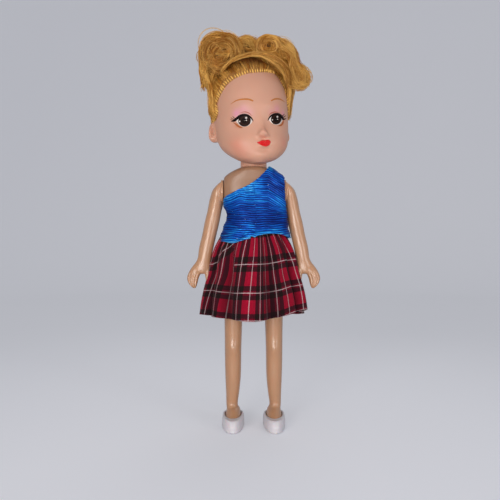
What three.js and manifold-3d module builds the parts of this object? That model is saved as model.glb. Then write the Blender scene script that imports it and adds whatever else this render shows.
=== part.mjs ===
// A standing play doll: hollow hard body in two shells, soft head on a turning neck, four snap-in limbs,
// hair in two buns, a one-shoulder top and a gathered skirt. Millimetres, +Z up, the face towards -Y.

import * as THREE from 'three';
import Module from 'manifold-3d';

const wasm = await Module();
wasm.setup();

// Clearances and walls
const seatGap = 0.3;
const overrun = 20;
const bodyWall = 1.4;
const limbWall = 1.3;
const headWall = 1.8;
const footGap = 0.45;

// Heights along the body, each from the one before it
const hipHeight = 103;
const hipToShoulder = 48;
const shoulderToSeam = 14.9;
const crotchDrop = 10;

// Torso
const shoulderWidth = 38.2;
const chestDepth = 11;
const backDepth = 10.2;
const hipGapHalfWidth = 6.5;
const legRecessRise = 1.5;

// Head, measured from the neck seam up
const headTurn = 12;
const headTilt = 2.5;
const neckRadius = 8.5;
const neckVisible = 4.1;
const neckReach = 12;
const chinDrop = 3;
const headHeight = 69.5;
const headWidth = 48;
const faceDepth = 23.5;
const skullDepth = 27.2;
const noseHeight = 13.2;
const noseWidth = 5.4;
const noseLength = 4.2;
const noseRise = 5.2;
const earHeight = 20.3;
const earSetback = 2.5;
const earThickness = 7.4;
const earDepth = 6.8;
const earRise = 13;

// Neck plug, held in the torso's collar
const collarRadius = 6.5;
const plugFlangeRadius = 7.6;
const plugFlangeHeight = 2.4;
const plugBoreRadius = 4.6;

// Hair
const hairThickness = 3;
const hairlineHeight = 53.2;
const hairlineHalfWidth = 23.2;
const templeHeight = 28;
const templeSetback = 1.5;
const napeHeight = 7;
const earlobeHeight = 15;
const bunRadius = 14.4;
const tailRadius = 5.5;
const tieRadius = 5;
const tieThickness = 1.8;

// Arm, from the shoulder axis down
const armLength = 62.5;
const armWidth = 9.5;
const armDepth = 9.6;
const armLean = 13.4;
const shoulderRadius = 7.7;
const handWidth = 13.4;
const handDepth = 6.4;
const thumbLength = 8.6;
const thumbWidth = 3.6;
const thumbSpread = 6;
const armPegRadius = 3;
const armFlangeRadius = 4.4;
const pegFlangeThickness = 1.4;

// Leg, from the hip axis down
const thighWidth = 12.8;
const thighDepth = 18.6;
const hipRadius = 10;
const legLift = 1.7;
const footLength = 26.8;
const footWidth = 11.2;
const toeReach = 19.6;
const legPegRadius = 2.6;
const legFlangeRadius = 3.8;

// Shoe
const shoeHeight = 7.6;
const shoeWall = 1.1;
const shoeThroatLength = 15;
const shoeThroatDrop = 3.6;

// Clothes, from the hips up and from the skirt's waist down
const clothThickness = 0.9;
const waistRise = 21.6;
const topOverlap = 4.8;
const topHemSlope = 7;
const topHemHalfWidth = 24.4;
const topHemHalfDepth = 17.8;
const topFlareHeight = 20;
const topHemDip = 4;
const necklineDrop = 21.4;
const necklineReach = 9.2;
const closureWidth = 7;
const stripThickness = 0.55;
const closureRise = 28;
const elasticHeight = 3.6;
const elasticThickness = 0.9;
const skirtLength = 54.6;
const skirtHemHalfWidth = 35;
const skirtHemHalfDepth = 28.5;
const skirtFoldDepth = 1.9;
const skirtFolds = 11;

// Locating pins between the torso shells
const pinRadius = 1.2;
const pinSocketRadius = 2.5;
const pinDepth = 3;

// Facets
const bodySides = 24;
const limbSides = 14;
const headSides = 24;
const bandSides = 8;
const hollowSides = 12;
const skirtSides = 55;

// Heights worked out from the sizes above
const shoulderHeight = hipHeight + hipToShoulder;
const seamHeight = shoulderHeight + shoulderToSeam;
const torsoBottom = hipHeight - crotchDrop;
const torsoHeight = seamHeight - torsoBottom;
const neckPivot = seamHeight + neckVisible;
const halfShoulder = shoulderWidth / 2;
const armInner = halfShoulder + seatGap;
const legInner = hipGapHalfWidth + seatGap;
const skirtTopHeight = hipHeight + waistRise;
const topHemHeight = skirtTopHeight - topOverlap;

const finishes = {
  vinyl: { color: 0xd9a58a, roughness: 0.5, metalness: 0 },
  hardSkin: { color: 0xcda07c, roughness: 0.35, metalness: 0 },
  hair: { color: 0xc9984f, roughness: 0.5, metalness: 0 },
  elastic: { color: 0xe6dcc8, roughness: 0.8, metalness: 0 },
  lurex: { color: 0x1463b8, roughness: 0.45, metalness: 0.2 },
  tartan: { color: 0x8f1230, roughness: 0.8, metalness: 0 },
  strip: { color: 0x2a4f86, roughness: 0.9, metalness: 0 },
  shoe: { color: 0xf2eef0, roughness: 0.4, metalness: 0 },
};

// How square an outline is: an ellipse, a soft one and a square one
const roundPower = 2;
const softPower = 2.2;
const squarePower = 3;

// A ring of points round a rounded outline, with its own reach to the front and to the back
function ring({ z, x = 0, y = 0, halfWidth, front, back = front, power = roundPower }, sides) {
  const points = [];
  for (let i = 0; i < sides; i += 1) {
    const angle = (i / sides) * Math.PI * 2;
    const c = Math.cos(angle);
    const s = Math.sin(angle);
    const round = (value) => Math.sign(value) * Math.abs(value) ** (2 / power);
    const depth = s < 0 ? front : back;
    points.push(new THREE.Vector3(x + halfWidth * round(c), y + depth * round(s), z));
  }
  return points;
}

// A closed skin over rings of equal length, lowest ring first
function skin(rings) {
  const sides = rings[0].length;
  const points = rings.flat();
  const centre = (list) => list.reduce((sum, p) => sum.add(p), new THREE.Vector3()).divideScalar(sides);
  points.push(centre(rings[0]), centre(rings[rings.length - 1]));
  const bottom = points.length - 2;
  const top = points.length - 1;
  const index = [];
  for (let r = 0; r + 1 < rings.length; r += 1) {
    for (let i = 0; i < sides; i += 1) {
      const a = r * sides + i;
      const b = r * sides + ((i + 1) % sides);
      index.push(a, b, b + sides, a, b + sides, a + sides);
    }
  }
  const last = (rings.length - 1) * sides;
  for (let i = 0; i < sides; i += 1) {
    const next = (i + 1) % sides;
    index.push(bottom, next, i, top, last + i, last + next);
  }
  return surface(points, index);
}

function surface(points, index) {
  const geometry = new THREE.BufferGeometry();
  geometry.setAttribute('position', new THREE.Float32BufferAttribute(points.flatMap((p) => p.toArray()), 3));
  geometry.setIndex(index);
  geometry.computeVertexNormals();
  return geometry;
}

// The same skin moved outwards along its normals, or inwards where the distance is negative
function grown(geometry, distance) {
  const copy = geometry.clone();
  copy.computeVertexNormals();
  const place = copy.attributes.position;
  const normal = copy.attributes.normal;
  for (let i = 0; i < place.count; i += 1) {
    const p = new THREE.Vector3().fromBufferAttribute(place, i);
    p.addScaledVector(new THREE.Vector3().fromBufferAttribute(normal, i), distance);
    place.setXYZ(i, p.x, p.y, p.z);
  }
  return copy;
}

// Corners closer than one part in this many of a millimetre are one corner
const cornerGrid = 1e5;

// A skin's or a three.js shape's solid, with shared corners merged
function solid(geometry) {
  const place = geometry.attributes.position;
  const corners = new Map();
  const vertices = [];
  const number = [];
  for (let i = 0; i < place.count; i += 1) {
    const xyz = [place.getX(i), place.getY(i), place.getZ(i)];
    const key = xyz.map((v) => Math.round(v * cornerGrid)).join();
    if (!corners.has(key)) {
      corners.set(key, corners.size);
      vertices.push(...xyz);
    }
    number.push(corners.get(key));
  }
  const index = geometry.index ? Array.from(geometry.index.array) : [...number.keys()];
  const triangles = [];
  for (let i = 0; i < index.length; i += 3) {
    const [a, b, c] = [number[index[i]], number[index[i + 1]], number[index[i + 2]]];
    if (a !== b && b !== c && c !== a) triangles.push(a, b, c);
  }
  return new wasm.Manifold(new wasm.Mesh({
    numProp: 3,
    vertProperties: new Float32Array(vertices),
    triVerts: new Uint32Array(triangles),
  }));
}

function piece(name, body, finish) {
  const mesh = body.getMesh();
  const geometry = new THREE.BufferGeometry();
  geometry.setAttribute('position', new THREE.BufferAttribute(new Float32Array(mesh.vertProperties), 3));
  geometry.setIndex(new THREE.BufferAttribute(new Uint32Array(mesh.triVerts), 1));
  geometry.computeVertexNormals();
  const result = new THREE.Mesh(geometry, new THREE.MeshStandardMaterial(finish));
  result.name = name;
  return result;
}

function box(low, high) {
  const size = high.map((v, i) => v - low[i]);
  const middle = high.map((v, i) => (v + low[i]) / 2);
  return solid(new THREE.BoxGeometry(...size).translate(...middle));
}

// A round bar along X, Y or Z between two places on that axis
function bar(axis, radius, from, to, centre, sides = limbSides, frame = new THREE.Matrix4()) {
  const geometry = new THREE.CylinderGeometry(radius, radius, to - from, sides);
  if (axis === 'x') geometry.rotateZ(-Math.PI / 2);
  if (axis === 'z') geometry.rotateX(Math.PI / 2);
  const place = new THREE.Vector3(...centre);
  place[axis] = (from + to) / 2;
  return solid(geometry.translate(place.x, place.y, place.z).applyMatrix4(frame));
}

function ellipsoid(radii, centre, sides = limbSides) {
  const geometry = new THREE.SphereGeometry(1, sides, Math.round(sides / 2));
  return solid(geometry.scale(...radii).translate(...centre));
}

// The same mesh on the other side of the doll, with its faces still pointing out
function mirrored(mesh, name) {
  const geometry = mesh.geometry.clone().scale(-1, 1, 1);
  const index = geometry.index.array;
  for (let i = 0; i < index.length; i += 3) [index[i], index[i + 1]] = [index[i + 1], index[i]];
  geometry.computeVertexNormals();
  const other = new THREE.Mesh(geometry, mesh.material.clone());
  other.name = name;
  return other;
}

// Torso shares: height up the torso, half width, front depth, back depth and squareness of the outline
const torsoShares = [
  [0, 0.28, 0.4, 0.42, 0],
  [0.02, 0.42, 0.62, 0.66, 0],
  [0.07, 0.62, 0.84, 0.92, 0],
  [0.15, 0.9, 0.95, 1.06, 0],
  [0.21, 0.94, 0.97, 1.08, 0],
  [0.275, 0.92, 0.95, 1.02, 0],
  [0.44, 0.78, 0.85, 0.84, 0],
  [0.51, 0.775, 0.86, 0.84, 0.1],
  [0.6, 0.84, 0.94, 0.9, 0.5],
  [0.71, 1.03, 1.02, 1, 1],
  [0.78, 1.07, 1, 1.02, 1],
  [0.9, 1.04, 0.94, 1, 1],
  [0.926, 0.97, 0.94, 0.99, 1],
  [0.952, 0.85, 0.94, 0.98, 0.9],
  [0.975, 0.7, 0.94, 0.97, 0.6],
  [1, 0.515, 0.88, 0.93, 0],
];
// The torso's outline at a height, between the rows of its shares
function torsoAt(height) {
  const up = (height - torsoBottom) / torsoHeight;
  const next = Math.max(1, torsoShares.findIndex(([share]) => share >= up));
  const [low, high] = [torsoShares[next - 1], torsoShares[next]];
  const mix = (up - low[0]) / (high[0] - low[0]);
  const at = (column) => THREE.MathUtils.lerp(low[column], high[column], mix);
  return {
    z: height,
    halfWidth: halfShoulder * at(1),
    front: chestDepth * at(2),
    back: backDepth * at(3),
    power: THREE.MathUtils.lerp(softPower, squarePower, at(4)),
  };
}

function torsoSkin(sides) {
  return skin(torsoShares.map(([up]) => ring(torsoAt(torsoBottom + torsoHeight * up), sides)));
}

// The space that each leg turns in, on both sides of the middle of the hips
function legRecess(grow) {
  const side = hipGapHalfWidth - grow;
  const radius = hipRadius + seatGap + grow;
  const far = halfShoulder + overrun;
  const low = hipHeight - overrun;
  const both = [[side, far], [-far, -side]].map(([from, to]) => {
    const round = bar('x', radius, from, to, [0, 0, hipHeight], bodySides);
    const under = box([from, -overrun, low], [to, overrun, hipHeight + legRecessRise]);
    const front = box([from, -overrun, low], [to, 0, hipHeight + radius]);
    return round.add(under).add(front);
  });
  return both[0].add(both[1]);
}

function torsoShells() {
  const bulk = torsoSkin(bodySides);
  const core = grown(torsoSkin(hollowSides), -bodyWall);
  const slab = (half) => box([-half, -overrun, torsoBottom - overrun], [half, overrun, seamHeight + overrun]);
  const outer = solid(bulk).intersect(slab(halfShoulder)).subtract(legRecess(0));
  const inner = solid(core).intersect(slab(halfShoulder - bodyWall)).subtract(legRecess(bodyWall));
  const shoulderHole = bar('x', armPegRadius + seatGap, -halfShoulder - overrun, halfShoulder + overrun,
    [0, 0, shoulderHeight]);
  const hipHole = bar('x', legPegRadius + seatGap, -legInner, legInner, [0, 0, hipHeight]);
  const collar = bar('z', collarRadius, seamHeight - overrun / 2, seamHeight + overrun, [0, 0, 0], bodySides);
  const hollow = outer.subtract(inner).subtract(shoulderHole).subtract(hipHole).subtract(collar);
  const far = halfShoulder + overrun;
  const low = torsoBottom - overrun;
  const high = seamHeight + overrun;
  let front = hollow.intersect(box([-far, -far, low], [far, -seatGap / 2, high]));
  let back = hollow.intersect(box([-far, seatGap / 2, low], [far, far, high]));
  const pinHeights = [shoulderHeight - shoulderRadius, hipHeight + hipRadius + hipToShoulder / 4];
  for (const height of pinHeights) {
    const pin = bar('y', pinRadius, -chestDepth - overrun, pinDepth, [0, 0, height]);
    const socket = bar('y', pinSocketRadius, seatGap / 2, backDepth + overrun, [0, 0, height]);
    const hole = bar('y', pinRadius + seatGap, -pinDepth, pinDepth + seatGap, [0, 0, height]);
    front = front.add(pin.intersect(outer));
    back = back.add(socket.intersect(outer).subtract(hole));
  }
  return { front, back, bulk };
}

// Head shares: height above the chin, half width, front depth and back depth
const headShares = [
  [0, 0.14, 0.83, -0.4],
  [0.03, 0.38, 0.92, -0.12],
  [0.07, 0.57, 0.97, 0.1],
  [0.115, 0.72, 0.99, 0.32],
  [0.16, 0.82, 1, 0.52],
  [0.215, 0.895, 0.99, 0.7],
  [0.27, 0.94, 0.97, 0.82],
  [0.34, 0.975, 0.945, 0.9],
  [0.43, 1, 0.955, 0.96],
  [0.53, 1, 0.98, 1],
  [0.64, 0.98, 0.94, 0.99],
  [0.745, 0.91, 0.83, 0.93],
  [0.83, 0.79, 0.67, 0.81],
  [0.9, 0.63, 0.49, 0.65],
  [0.955, 0.42, 0.28, 0.44],
  [0.988, 0.2, 0.08, 0.23],
];

function headSkin(sides) {
  return skin(headShares.map(([up, width, front, back]) => {
    const near = -faceDepth * front;
    const far = skullDepth * back;
    return ring({
      z: headHeight * up - chinDrop,
      y: (near + far) / 2,
      halfWidth: (headWidth / 2) * width,
      front: (far - near) / 2,
    }, sides);
  }));
}

// Places the head's own frame, with its origin at the neck pivot, in the upright frame
const headSet = new THREE.Group();
headSet.position.set(0, 0, neckPivot);
headSet.rotation.set(0, -THREE.MathUtils.degToRad(headTilt), 0);
const headFrame = new THREE.Group();
headFrame.rotation.z = THREE.MathUtils.degToRad(headTurn);
headSet.add(headFrame);
headSet.updateMatrixWorld(true);
const intoHead = headFrame.matrixWorld.clone().invert();

function ears(grow) {
  const radii = [earThickness / 2 + grow, earDepth / 2 + grow, earRise / 2 + grow];
  const [left, right] = [1, -1].map((side) => (
    ellipsoid(radii, [side * (headWidth / 2), earSetback, earHeight])
  ));
  return left.add(right);
}

function neckPlug() {
  const grooveLow = seamHeight - bodyWall - seatGap;
  const grooveHigh = seamHeight + seatGap;
  const neckTop = neckPivot + neckReach;
  const flangeLow = grooveLow - plugFlangeHeight;
  const upright = (radius, from, to) => bar('z', radius, from, to, [0, 0, 0], headSides, intoHead);
  const neck = upright(neckRadius, grooveHigh, neckTop);
  const groove = upright(collarRadius - seatGap, grooveLow - seatGap, grooveHigh + seatGap);
  const flange = upright(plugFlangeRadius, flangeLow, grooveLow);
  return { body: neck.add(groove).add(flange), bore: upright(plugBoreRadius, flangeLow - overrun, neckTop) };
}

function headShell(bulk) {
  const nose = ellipsoid([noseWidth / 2, noseLength, noseRise / 2], [0, -faceDepth, noseHeight]);
  const plug = neckPlug();
  const outer = solid(bulk).add(nose).add(ears(0)).add(plug.body);
  const hollow = solid(grown(headSkin(hollowSides), -headWall));
  return outer.subtract(hollow).subtract(plug.bore);
}

// Hairline shares: half width and height up the arch, from one temple over the forehead
const hairlineShares = [
  [1, 0], [0.99, 0.2], [0.94, 0.4], [0.83, 0.67], [0.69, 0.85], [0.5, 0.95], [0.26, 0.99], [0, 1],
];

function faceOpening() {
  const arch = hairlineHeight - templeHeight;
  const half = hairlineShares.map(([across, up]) => [hairlineHalfWidth * across, templeHeight + arch * up]);
  const other = half.slice(0, -1).reverse().map(([across, up]) => [-across, up]);
  const shape = new THREE.Shape([...half, ...other].map(([across, up]) => new THREE.Vector2(across, up)));
  const depth = faceDepth + overrun + templeSetback;
  const arched = new THREE.ExtrudeGeometry(shape, { depth, bevelEnabled: false });
  arched.rotateX(Math.PI / 2).translate(0, templeSetback, 0);
  const wide = headWidth / 2 + overrun;
  const below = box([-wide, -faceDepth - overrun, -overrun], [wide, templeSetback, templeHeight]);
  return solid(arched).add(below);
}

function underNape() {
  const back = skullDepth + overrun;
  const slope = (napeHeight - earlobeHeight) / skullDepth;
  const at = (depth) => earlobeHeight + slope * depth;
  const shape = new THREE.Shape([
    new THREE.Vector2(-overrun, -overrun - chinDrop),
    new THREE.Vector2(back, -overrun - chinDrop),
    new THREE.Vector2(back, at(back)),
    new THREE.Vector2(-overrun, at(-overrun)),
  ]);
  const width = headWidth + 2 * overrun;
  const geometry = new THREE.ExtrudeGeometry(shape, { depth: width, bevelEnabled: false });
  const turn = new THREE.Matrix4().makeBasis(
    new THREE.Vector3(0, 1, 0), new THREE.Vector3(0, 0, 1), new THREE.Vector3(1, 0, 0),
  );
  return solid(geometry.applyMatrix4(turn).translate(-width / 2, 0, 0));
}

function scalpHair(bulk) {
  const outer = solid(grown(bulk, hairThickness));
  const skull = solid(grown(bulk, seatGap));
  const ties = tieOn(bunShares.right, seatGap).add(tieOn(bunShares.left, seatGap));
  const cap = outer.subtract(skull).subtract(ears(seatGap)).subtract(faceOpening()).subtract(underNape());
  return cap.subtract(ties);
}

// Bun shares of the bun radius: place across, back and above the crown, then reach each way
const crownHeight = headHeight - chinDrop;
const bunShares = {
  right: { place: [-1.22, 0.2, 0.34], reach: [1, 0.85, 0.98] },
  left: { place: [1.09, -0.22, -0.02], reach: [1.1, 0.88, 1.02] },
};
const tailShares = { place: [2.22, -0.28, -0.82], reach: [1.2, 0.9, 1.25] };

function bunPlace({ place: [across, back, up] }) {
  return [bunRadius * across, bunRadius * back, crownHeight + bunRadius * up];
}

// The elastic lies on the hair where the bun rises from it, square to the line from the skull's middle
function tieOn(bun, grow) {
  const middle = new THREE.Vector3(0, 0, crownHeight / 2);
  const towards = new THREE.Vector3(...bunPlace(bun)).sub(middle).normalize();
  const ray = new THREE.Raycaster(middle.clone(), towards);
  const hair = new THREE.Mesh(grown(headSkin(headSides), hairThickness), new THREE.MeshBasicMaterial({
    side: THREE.DoubleSide,
  }));
  const hit = ray.intersectObject(hair).pop();
  const lift = tieThickness / 2 + seatGap + tieRadius ** 2 / headWidth;
  const geometry = new THREE.TorusGeometry(tieRadius, tieThickness / 2 + grow, bandSides, limbSides);
  const turn = new THREE.Quaternion().setFromUnitVectors(new THREE.Vector3(0, 0, 1), towards);
  geometry.applyQuaternion(turn);
  const at = hit.point.addScaledVector(towards, lift);
  return solid(geometry.translate(at.x, at.y, at.z));
}

function bunHair(bulk, bun, extra) {
  const reach = bun.reach.map((share) => bunRadius * share);
  let body = ellipsoid(reach, bunPlace(bun));
  if (extra) {
    const tailReach = extra.reach.map((share) => tailRadius * share);
    body = body.add(ellipsoid(tailReach, bunPlace(extra)));
  }
  return body.subtract(solid(grown(bulk, hairThickness + seatGap))).subtract(tieOn(bun, seatGap));
}

// Arm shares: height above the shoulder axis over the shoulder radius, then down the arm over its length
const shoulderShares = [
  [0.97, 0.03, 0.1],
  [0.65, 0.305, 0.56],
  [0.32, 0.54, 0.71],
];
const elbowShare = 0.31;
const armShares = [
  [0, 0, 0.67, 0.75],
  [0.05, 0, 0.81, 0.72],
  [0.105, 0.005, 0.92, 0.63],
  [0.21, 0.12, 1, 0.54],
  [elbowShare, 0.22, 1, 0.51],
  [0.45, 0.37, 1, 0.49],
  [0.58, 0.505, 0.99, 0.46],
  [0.7, 0.62, 0.92, 0.4],
];
// Hand shares: how far down the arm, the inner edge beyond the lean, width and depth of the hand, forwards
const palmShares = [
  [0.745, 0.66, 0.82, 0.82, 0.04],
  [0.79, 0.64, 0.96, 0.98, 0.14],
  [0.84, 0.67, 1.08, 1, 0.26],
];
const fingerShares = [
  [0.83, 1.16, 0.72, 0.98, 0.26],
  [0.88, 1.26, 0.62, 0.94, 0.36],
  [0.93, 1.39, 0.43, 0.82, 0.46],
  [0.975, 1.42, 0.27, 0.66, 0.52],
  [1, 1.45, 0.13, 0.34, 0.54],
];
const thumbShares = [
  [0, 0, 1.15, 0],
  [0.35, 0.1, 1, 0.14],
  [0.7, 0.34, 0.84, 0.34],
  [0.95, 0.6, 0.56, 0.5],
  [1, 0.68, 0.2, 0.54],
];

function armSkins(sides) {
  const limb = [];
  for (const [down, lean, width, depth] of armShares) {
    const halfWidth = (armWidth / 2) * width;
    limb.push({
      z: -armLength * down,
      x: armInner + armLean * lean + halfWidth,
      y: -handDepth * Math.max(0, down - elbowShare) / 2,
      halfWidth,
      front: armDepth * depth,
    });
  }
  const shoulder = shoulderShares.map(([up, width, depth]) => {
    const halfWidth = (armWidth / 2) * width;
    return { z: shoulderRadius * up, x: armInner + halfWidth, halfWidth, front: armDepth * depth };
  });
  const hand = (shares) => shares.map(([down, lean, width, depth, forward]) => {
    const halfWidth = (handWidth / 2) * width;
    return {
      z: -armLength * down,
      x: armInner + armLean * lean + halfWidth,
      y: -handDepth * forward,
      halfWidth,
      front: (handDepth / 2) * depth,
      power: softPower,
    };
  });
  const rings = (list, count) => skin(list.map((one) => ring(one, count)).reverse());
  const [thumbDown, thumbLean, , , thumbForward] = palmShares[1];
  const thumb = thumbShares.map(([down, across, width, forward]) => ({
    z: -armLength * thumbDown - thumbLength * down,
    x: armInner + armLean * thumbLean + thumbWidth / 2 + (thumbSpread / 2) * across,
    y: -handDepth * (thumbForward + forward / 2),
    halfWidth: (thumbWidth / 2) * width,
    front: (thumbWidth / 2) * width,
  }));
  return {
    limb: rings([...shoulder, ...limb, ...hand(palmShares)], sides),
    fingers: rings(hand(fingerShares), sides),
    thumb: rings(thumb, bandSides),
  };
}

// The plug that snaps into the torso: a disc on the seat, a peg through the wall and a flange behind it
function snapPlug(seat, disc, peg, flange) {
  const axis = [0, 0, 0];
  const discThickness = limbWall + seatGap;
  const flangeFar = seat - 2 * seatGap - bodyWall;
  return bar('x', disc, seat, seat + discThickness, axis)
    .add(bar('x', peg, flangeFar - pegFlangeThickness, seat + discThickness, axis))
    .add(bar('x', flange, flangeFar - pegFlangeThickness, flangeFar, axis));
}

function armBody() {
  const skins = armSkins(limbSides);
  const plug = snapPlug(armInner, shoulderRadius, armPegRadius, armFlangeRadius);
  const outer = solid(skins.limb).add(solid(skins.fingers)).add(solid(skins.thumb)).add(plug);
  const hollow = solid(grown(armSkins(bandSides).limb, -limbWall));
  const vent = bar('x', armPegRadius - limbWall, 0, armInner + armWidth / 2, [0, 0, 0], bandSides);
  return outer.subtract(hollow).subtract(vent);
}

// Leg shares: down the leg over the hip height, out from the inner side, width, front and back depth
const legShares = [
  [0, 0, 0.95, 0.45, 0.46],
  [0.07, 0, 0.99, 0.5, 0.5],
  [0.15, 0, 1, 0.48, 0.49],
  [0.27, -0.01, 0.94, 0.42, 0.44],
  [0.42, 0, 0.87, 0.37, 0.37],
  [0.52, 0.01, 0.84, 0.36, 0.33],
  [0.61, 0.01, 0.82, 0.33, 0.36],
  [0.7, 0.01, 0.78, 0.31, 0.36],
  [0.79, 0.03, 0.68, 0.27, 0.3],
  [0.87, 0.06, 0.58, 0.24, 0.25],
];
// Foot shares: height over the ankle height, width, reach to the toe and reach to the heel
const footShares = [
  [0.75, 0.76, 0.42, 0.74],
  [0.5, 0.88, 0.66, 0.86],
  [0.25, 1, 0.95, 0.96],
  [0.06, 1, 1, 1],
  [0, 0.9, 0.93, 0.94],
];
const ankleShare = 0.13;
const hipDomeShares = [[0, 0.84], [0.13, 0.95], [0.38, 1], [0.66, 0.92], [0.87, 0.66], [0.98, 0.3]];

function legSkin(sides) {
  const limb = legShares.map(([down, out, width, front, back]) => {
    const halfWidth = (thighWidth / 2) * width;
    return {
      z: -hipHeight * down,
      x: legInner + thighWidth * (out + 0.5),
      halfWidth,
      front: thighDepth * front,
      back: thighDepth * back,
    };
  });
  const ankle = hipHeight * ankleShare - legLift;
  const heel = footLength - toeReach;
  const foot = footShares.map(([up, width, toe, back]) => ({
    z: -hipHeight + legLift + ankle * up,
    x: legInner + thighWidth / 2,
    halfWidth: (footWidth / 2) * width,
    front: toeReach * toe,
    back: heel * back,
    power: softPower,
  }));
  return skin([...limb, ...foot].map((one) => ring(one, sides)).reverse());
}

function hipDome() {
  const profile = [[0, 0], ...hipDomeShares, [1, 0]].map(([out, radius]) => (
    new THREE.Vector2(hipRadius * radius, thighWidth * out)
  ));
  profile[0].x = 0;
  return solid(new THREE.LatheGeometry(profile, limbSides).rotateZ(-Math.PI / 2).translate(legInner, 0, 0));
}

function legBody() {
  const plug = snapPlug(legInner, legFlangeRadius, legPegRadius, legFlangeRadius);
  const hollow = solid(grown(legSkin(bandSides), -limbWall));
  const vent = bar('x', legPegRadius - limbWall, 0, legInner + thighWidth / 2, [0, 0, 0], bandSides);
  return solid(legSkin(limbSides)).add(hipDome()).add(plug).subtract(hollow).subtract(vent);
}

function shoeBody() {
  const grow = shoeWall + footGap;
  const heel = footLength - toeReach;
  const middle = legInner + thighWidth / 2;
  const shoeShares = [[0, 0.95], [0.18, 1], [0.55, 1], [0.85, 0.95], [1, 0.9]];
  const outer = skin(shoeShares.map(([up, size]) => ring({
    z: shoeHeight * up,
    x: middle,
    halfWidth: (footWidth / 2 + grow) * size,
    front: (toeReach + grow) * size,
    back: heel + grow * size,
    power: softPower,
  }, bodySides)));
  const foot = solid(grown(legSkin(limbSides).translate(0, 0, hipHeight), footGap));
  const throat = ellipsoid(
    [footWidth / 2 + seatGap, shoeThroatLength / 2, shoeHeight],
    [middle, -(toeReach - heel) / 2 + shoeThroatLength / 4, shoeHeight + shoeThroatDrop],
  );
  return solid(outer).subtract(foot).subtract(throat);
}

// Top flare shares: height below the flare's start and how much of the hem's flare is reached there
const topFlareShares = [[0, 0], [0.2, 0.12], [0.4, 0.3], [0.6, 0.52], [0.8, 0.76], [1, 1]];
const flareTop = topHemHeight + topFlareHeight;
const flareBottom = topHemHeight - topHemDip;

// The surface that the top lies over: the torso, and further out towards its hem, which hangs free
function topAt(height) {
  const down = (flareTop - height) / (flareTop - flareBottom);
  const next = Math.max(1, topFlareShares.findIndex(([share]) => share >= down));
  const [above, below] = [topFlareShares[next - 1], topFlareShares[next]];
  const mix = (down - above[0]) / (below[0] - above[0]);
  const share = down > 0 ? THREE.MathUtils.lerp(above[1], below[1], mix) : 0;
  const body = torsoAt(height);
  const flared = (hem, own) => own + Math.max(0, hem - clothThickness - seatGap - own) * share;
  return {
    z: height,
    halfWidth: flared(topHemHalfWidth, body.halfWidth),
    front: flared(topHemHalfDepth, body.front),
    back: flared(topHemHalfDepth, body.back),
    power: THREE.MathUtils.lerp(body.power, softPower, share),
  };
}

function topSkin(offset) {
  const rings = topFlareShares.map(([down]) => {
    const under = topAt(THREE.MathUtils.lerp(flareTop, flareBottom, down));
    return ring({
      ...under,
      halfWidth: under.halfWidth + offset,
      front: under.front + offset,
      back: under.back + offset,
    }, bodySides);
  });
  return skin(rings.reverse());
}

// Neckline shares: across from the low side to the neck, and height from the low side to the seam
const necklineShares = [[0, 0], [0.25, 0.2], [0.6, 0.45], [0.83, 0.7], [1, 1]];

function aboveNeckline() {
  const start = -halfShoulder;
  const across = necklineReach - start;
  const line = necklineShares.map(([along, up]) => (
    new THREE.Vector2(start + across * along, seamHeight - necklineDrop * (1 - up))
  ));
  const high = seamHeight + overrun;
  const shape = new THREE.Shape([
    new THREE.Vector2(start - overrun, seamHeight - necklineDrop),
    ...line,
    new THREE.Vector2(necklineReach, high),
    new THREE.Vector2(start - overrun, high),
  ]);
  const geometry = new THREE.ExtrudeGeometry(shape, { depth: 4 * overrun, bevelEnabled: false });
  return solid(geometry.rotateX(Math.PI / 2).translate(0, 2 * overrun, 0));
}

function topBody(bulk) {
  const high = seamHeight + overrun;
  const far = halfShoulder + overrun;
  const upper = (offset) => solid(grown(bulk, offset)).intersect(
    box([-halfShoulder, -far, flareTop - 2 * seatGap], [halfShoulder, far, high]),
  );
  const layer = (offset) => upper(offset).add(solid(topSkin(offset)));
  const cloth = layer(seatGap + clothThickness).subtract(layer(seatGap));
  const tilt = THREE.MathUtils.degToRad(topHemSlope);
  const hemCut = solid(new THREE.BoxGeometry(4 * far, 4 * far, overrun)
    .translate(0, 0, -overrun / 2).rotateY(-tilt).translate(0, 0, topHemHeight));
  const neck = bar('z', neckRadius + seatGap, seamHeight - overrun, high, [0, 0, 0], headSides);
  const slit = box([-closureWidth / 2, 0, 0], [closureWidth / 2, far, high]);
  return cloth.subtract(hemCut).subtract(aboveNeckline()).subtract(neck).subtract(slit);
}

// The two strips lie one on the other in the back slit, following the back of the top
function closureStrip(layer) {
  const inset = seatGap + layer * (stripThickness + seatGap);
  const half = closureWidth / 2 - seatGap;
  const steps = Math.round(closureRise / elasticHeight);
  const rings = [];
  for (let i = 0; i <= steps; i += 1) {
    const z = topHemHeight + (closureRise * i) / steps;
    const near = topAt(z).back + inset;
    rings.push([
      new THREE.Vector3(-half, near, z),
      new THREE.Vector3(half, near, z),
      new THREE.Vector3(half, near + stripThickness, z),
      new THREE.Vector3(-half, near + stripThickness, z),
    ]);
  }
  return solid(skin(rings));
}

// Skirt shares: how far down, how far out from the waist to the hem in width and depth, and fold depth
const skirtShares = [
  [0, 0, 0, 0.3],
  [0.09, 0.14, 0.08, 0.42],
  [0.2, 0.3, 0.23, 0.55],
  [0.36, 0.45, 0.42, 0.7],
  [0.52, 0.55, 0.58, 0.82],
  [0.66, 0.71, 0.74, 0.92],
  [0.83, 0.88, 0.89, 1],
  [1, 1, 1, 1],
];
const slowFoldShare = 0.35;
const slowFolds = 3;

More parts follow.
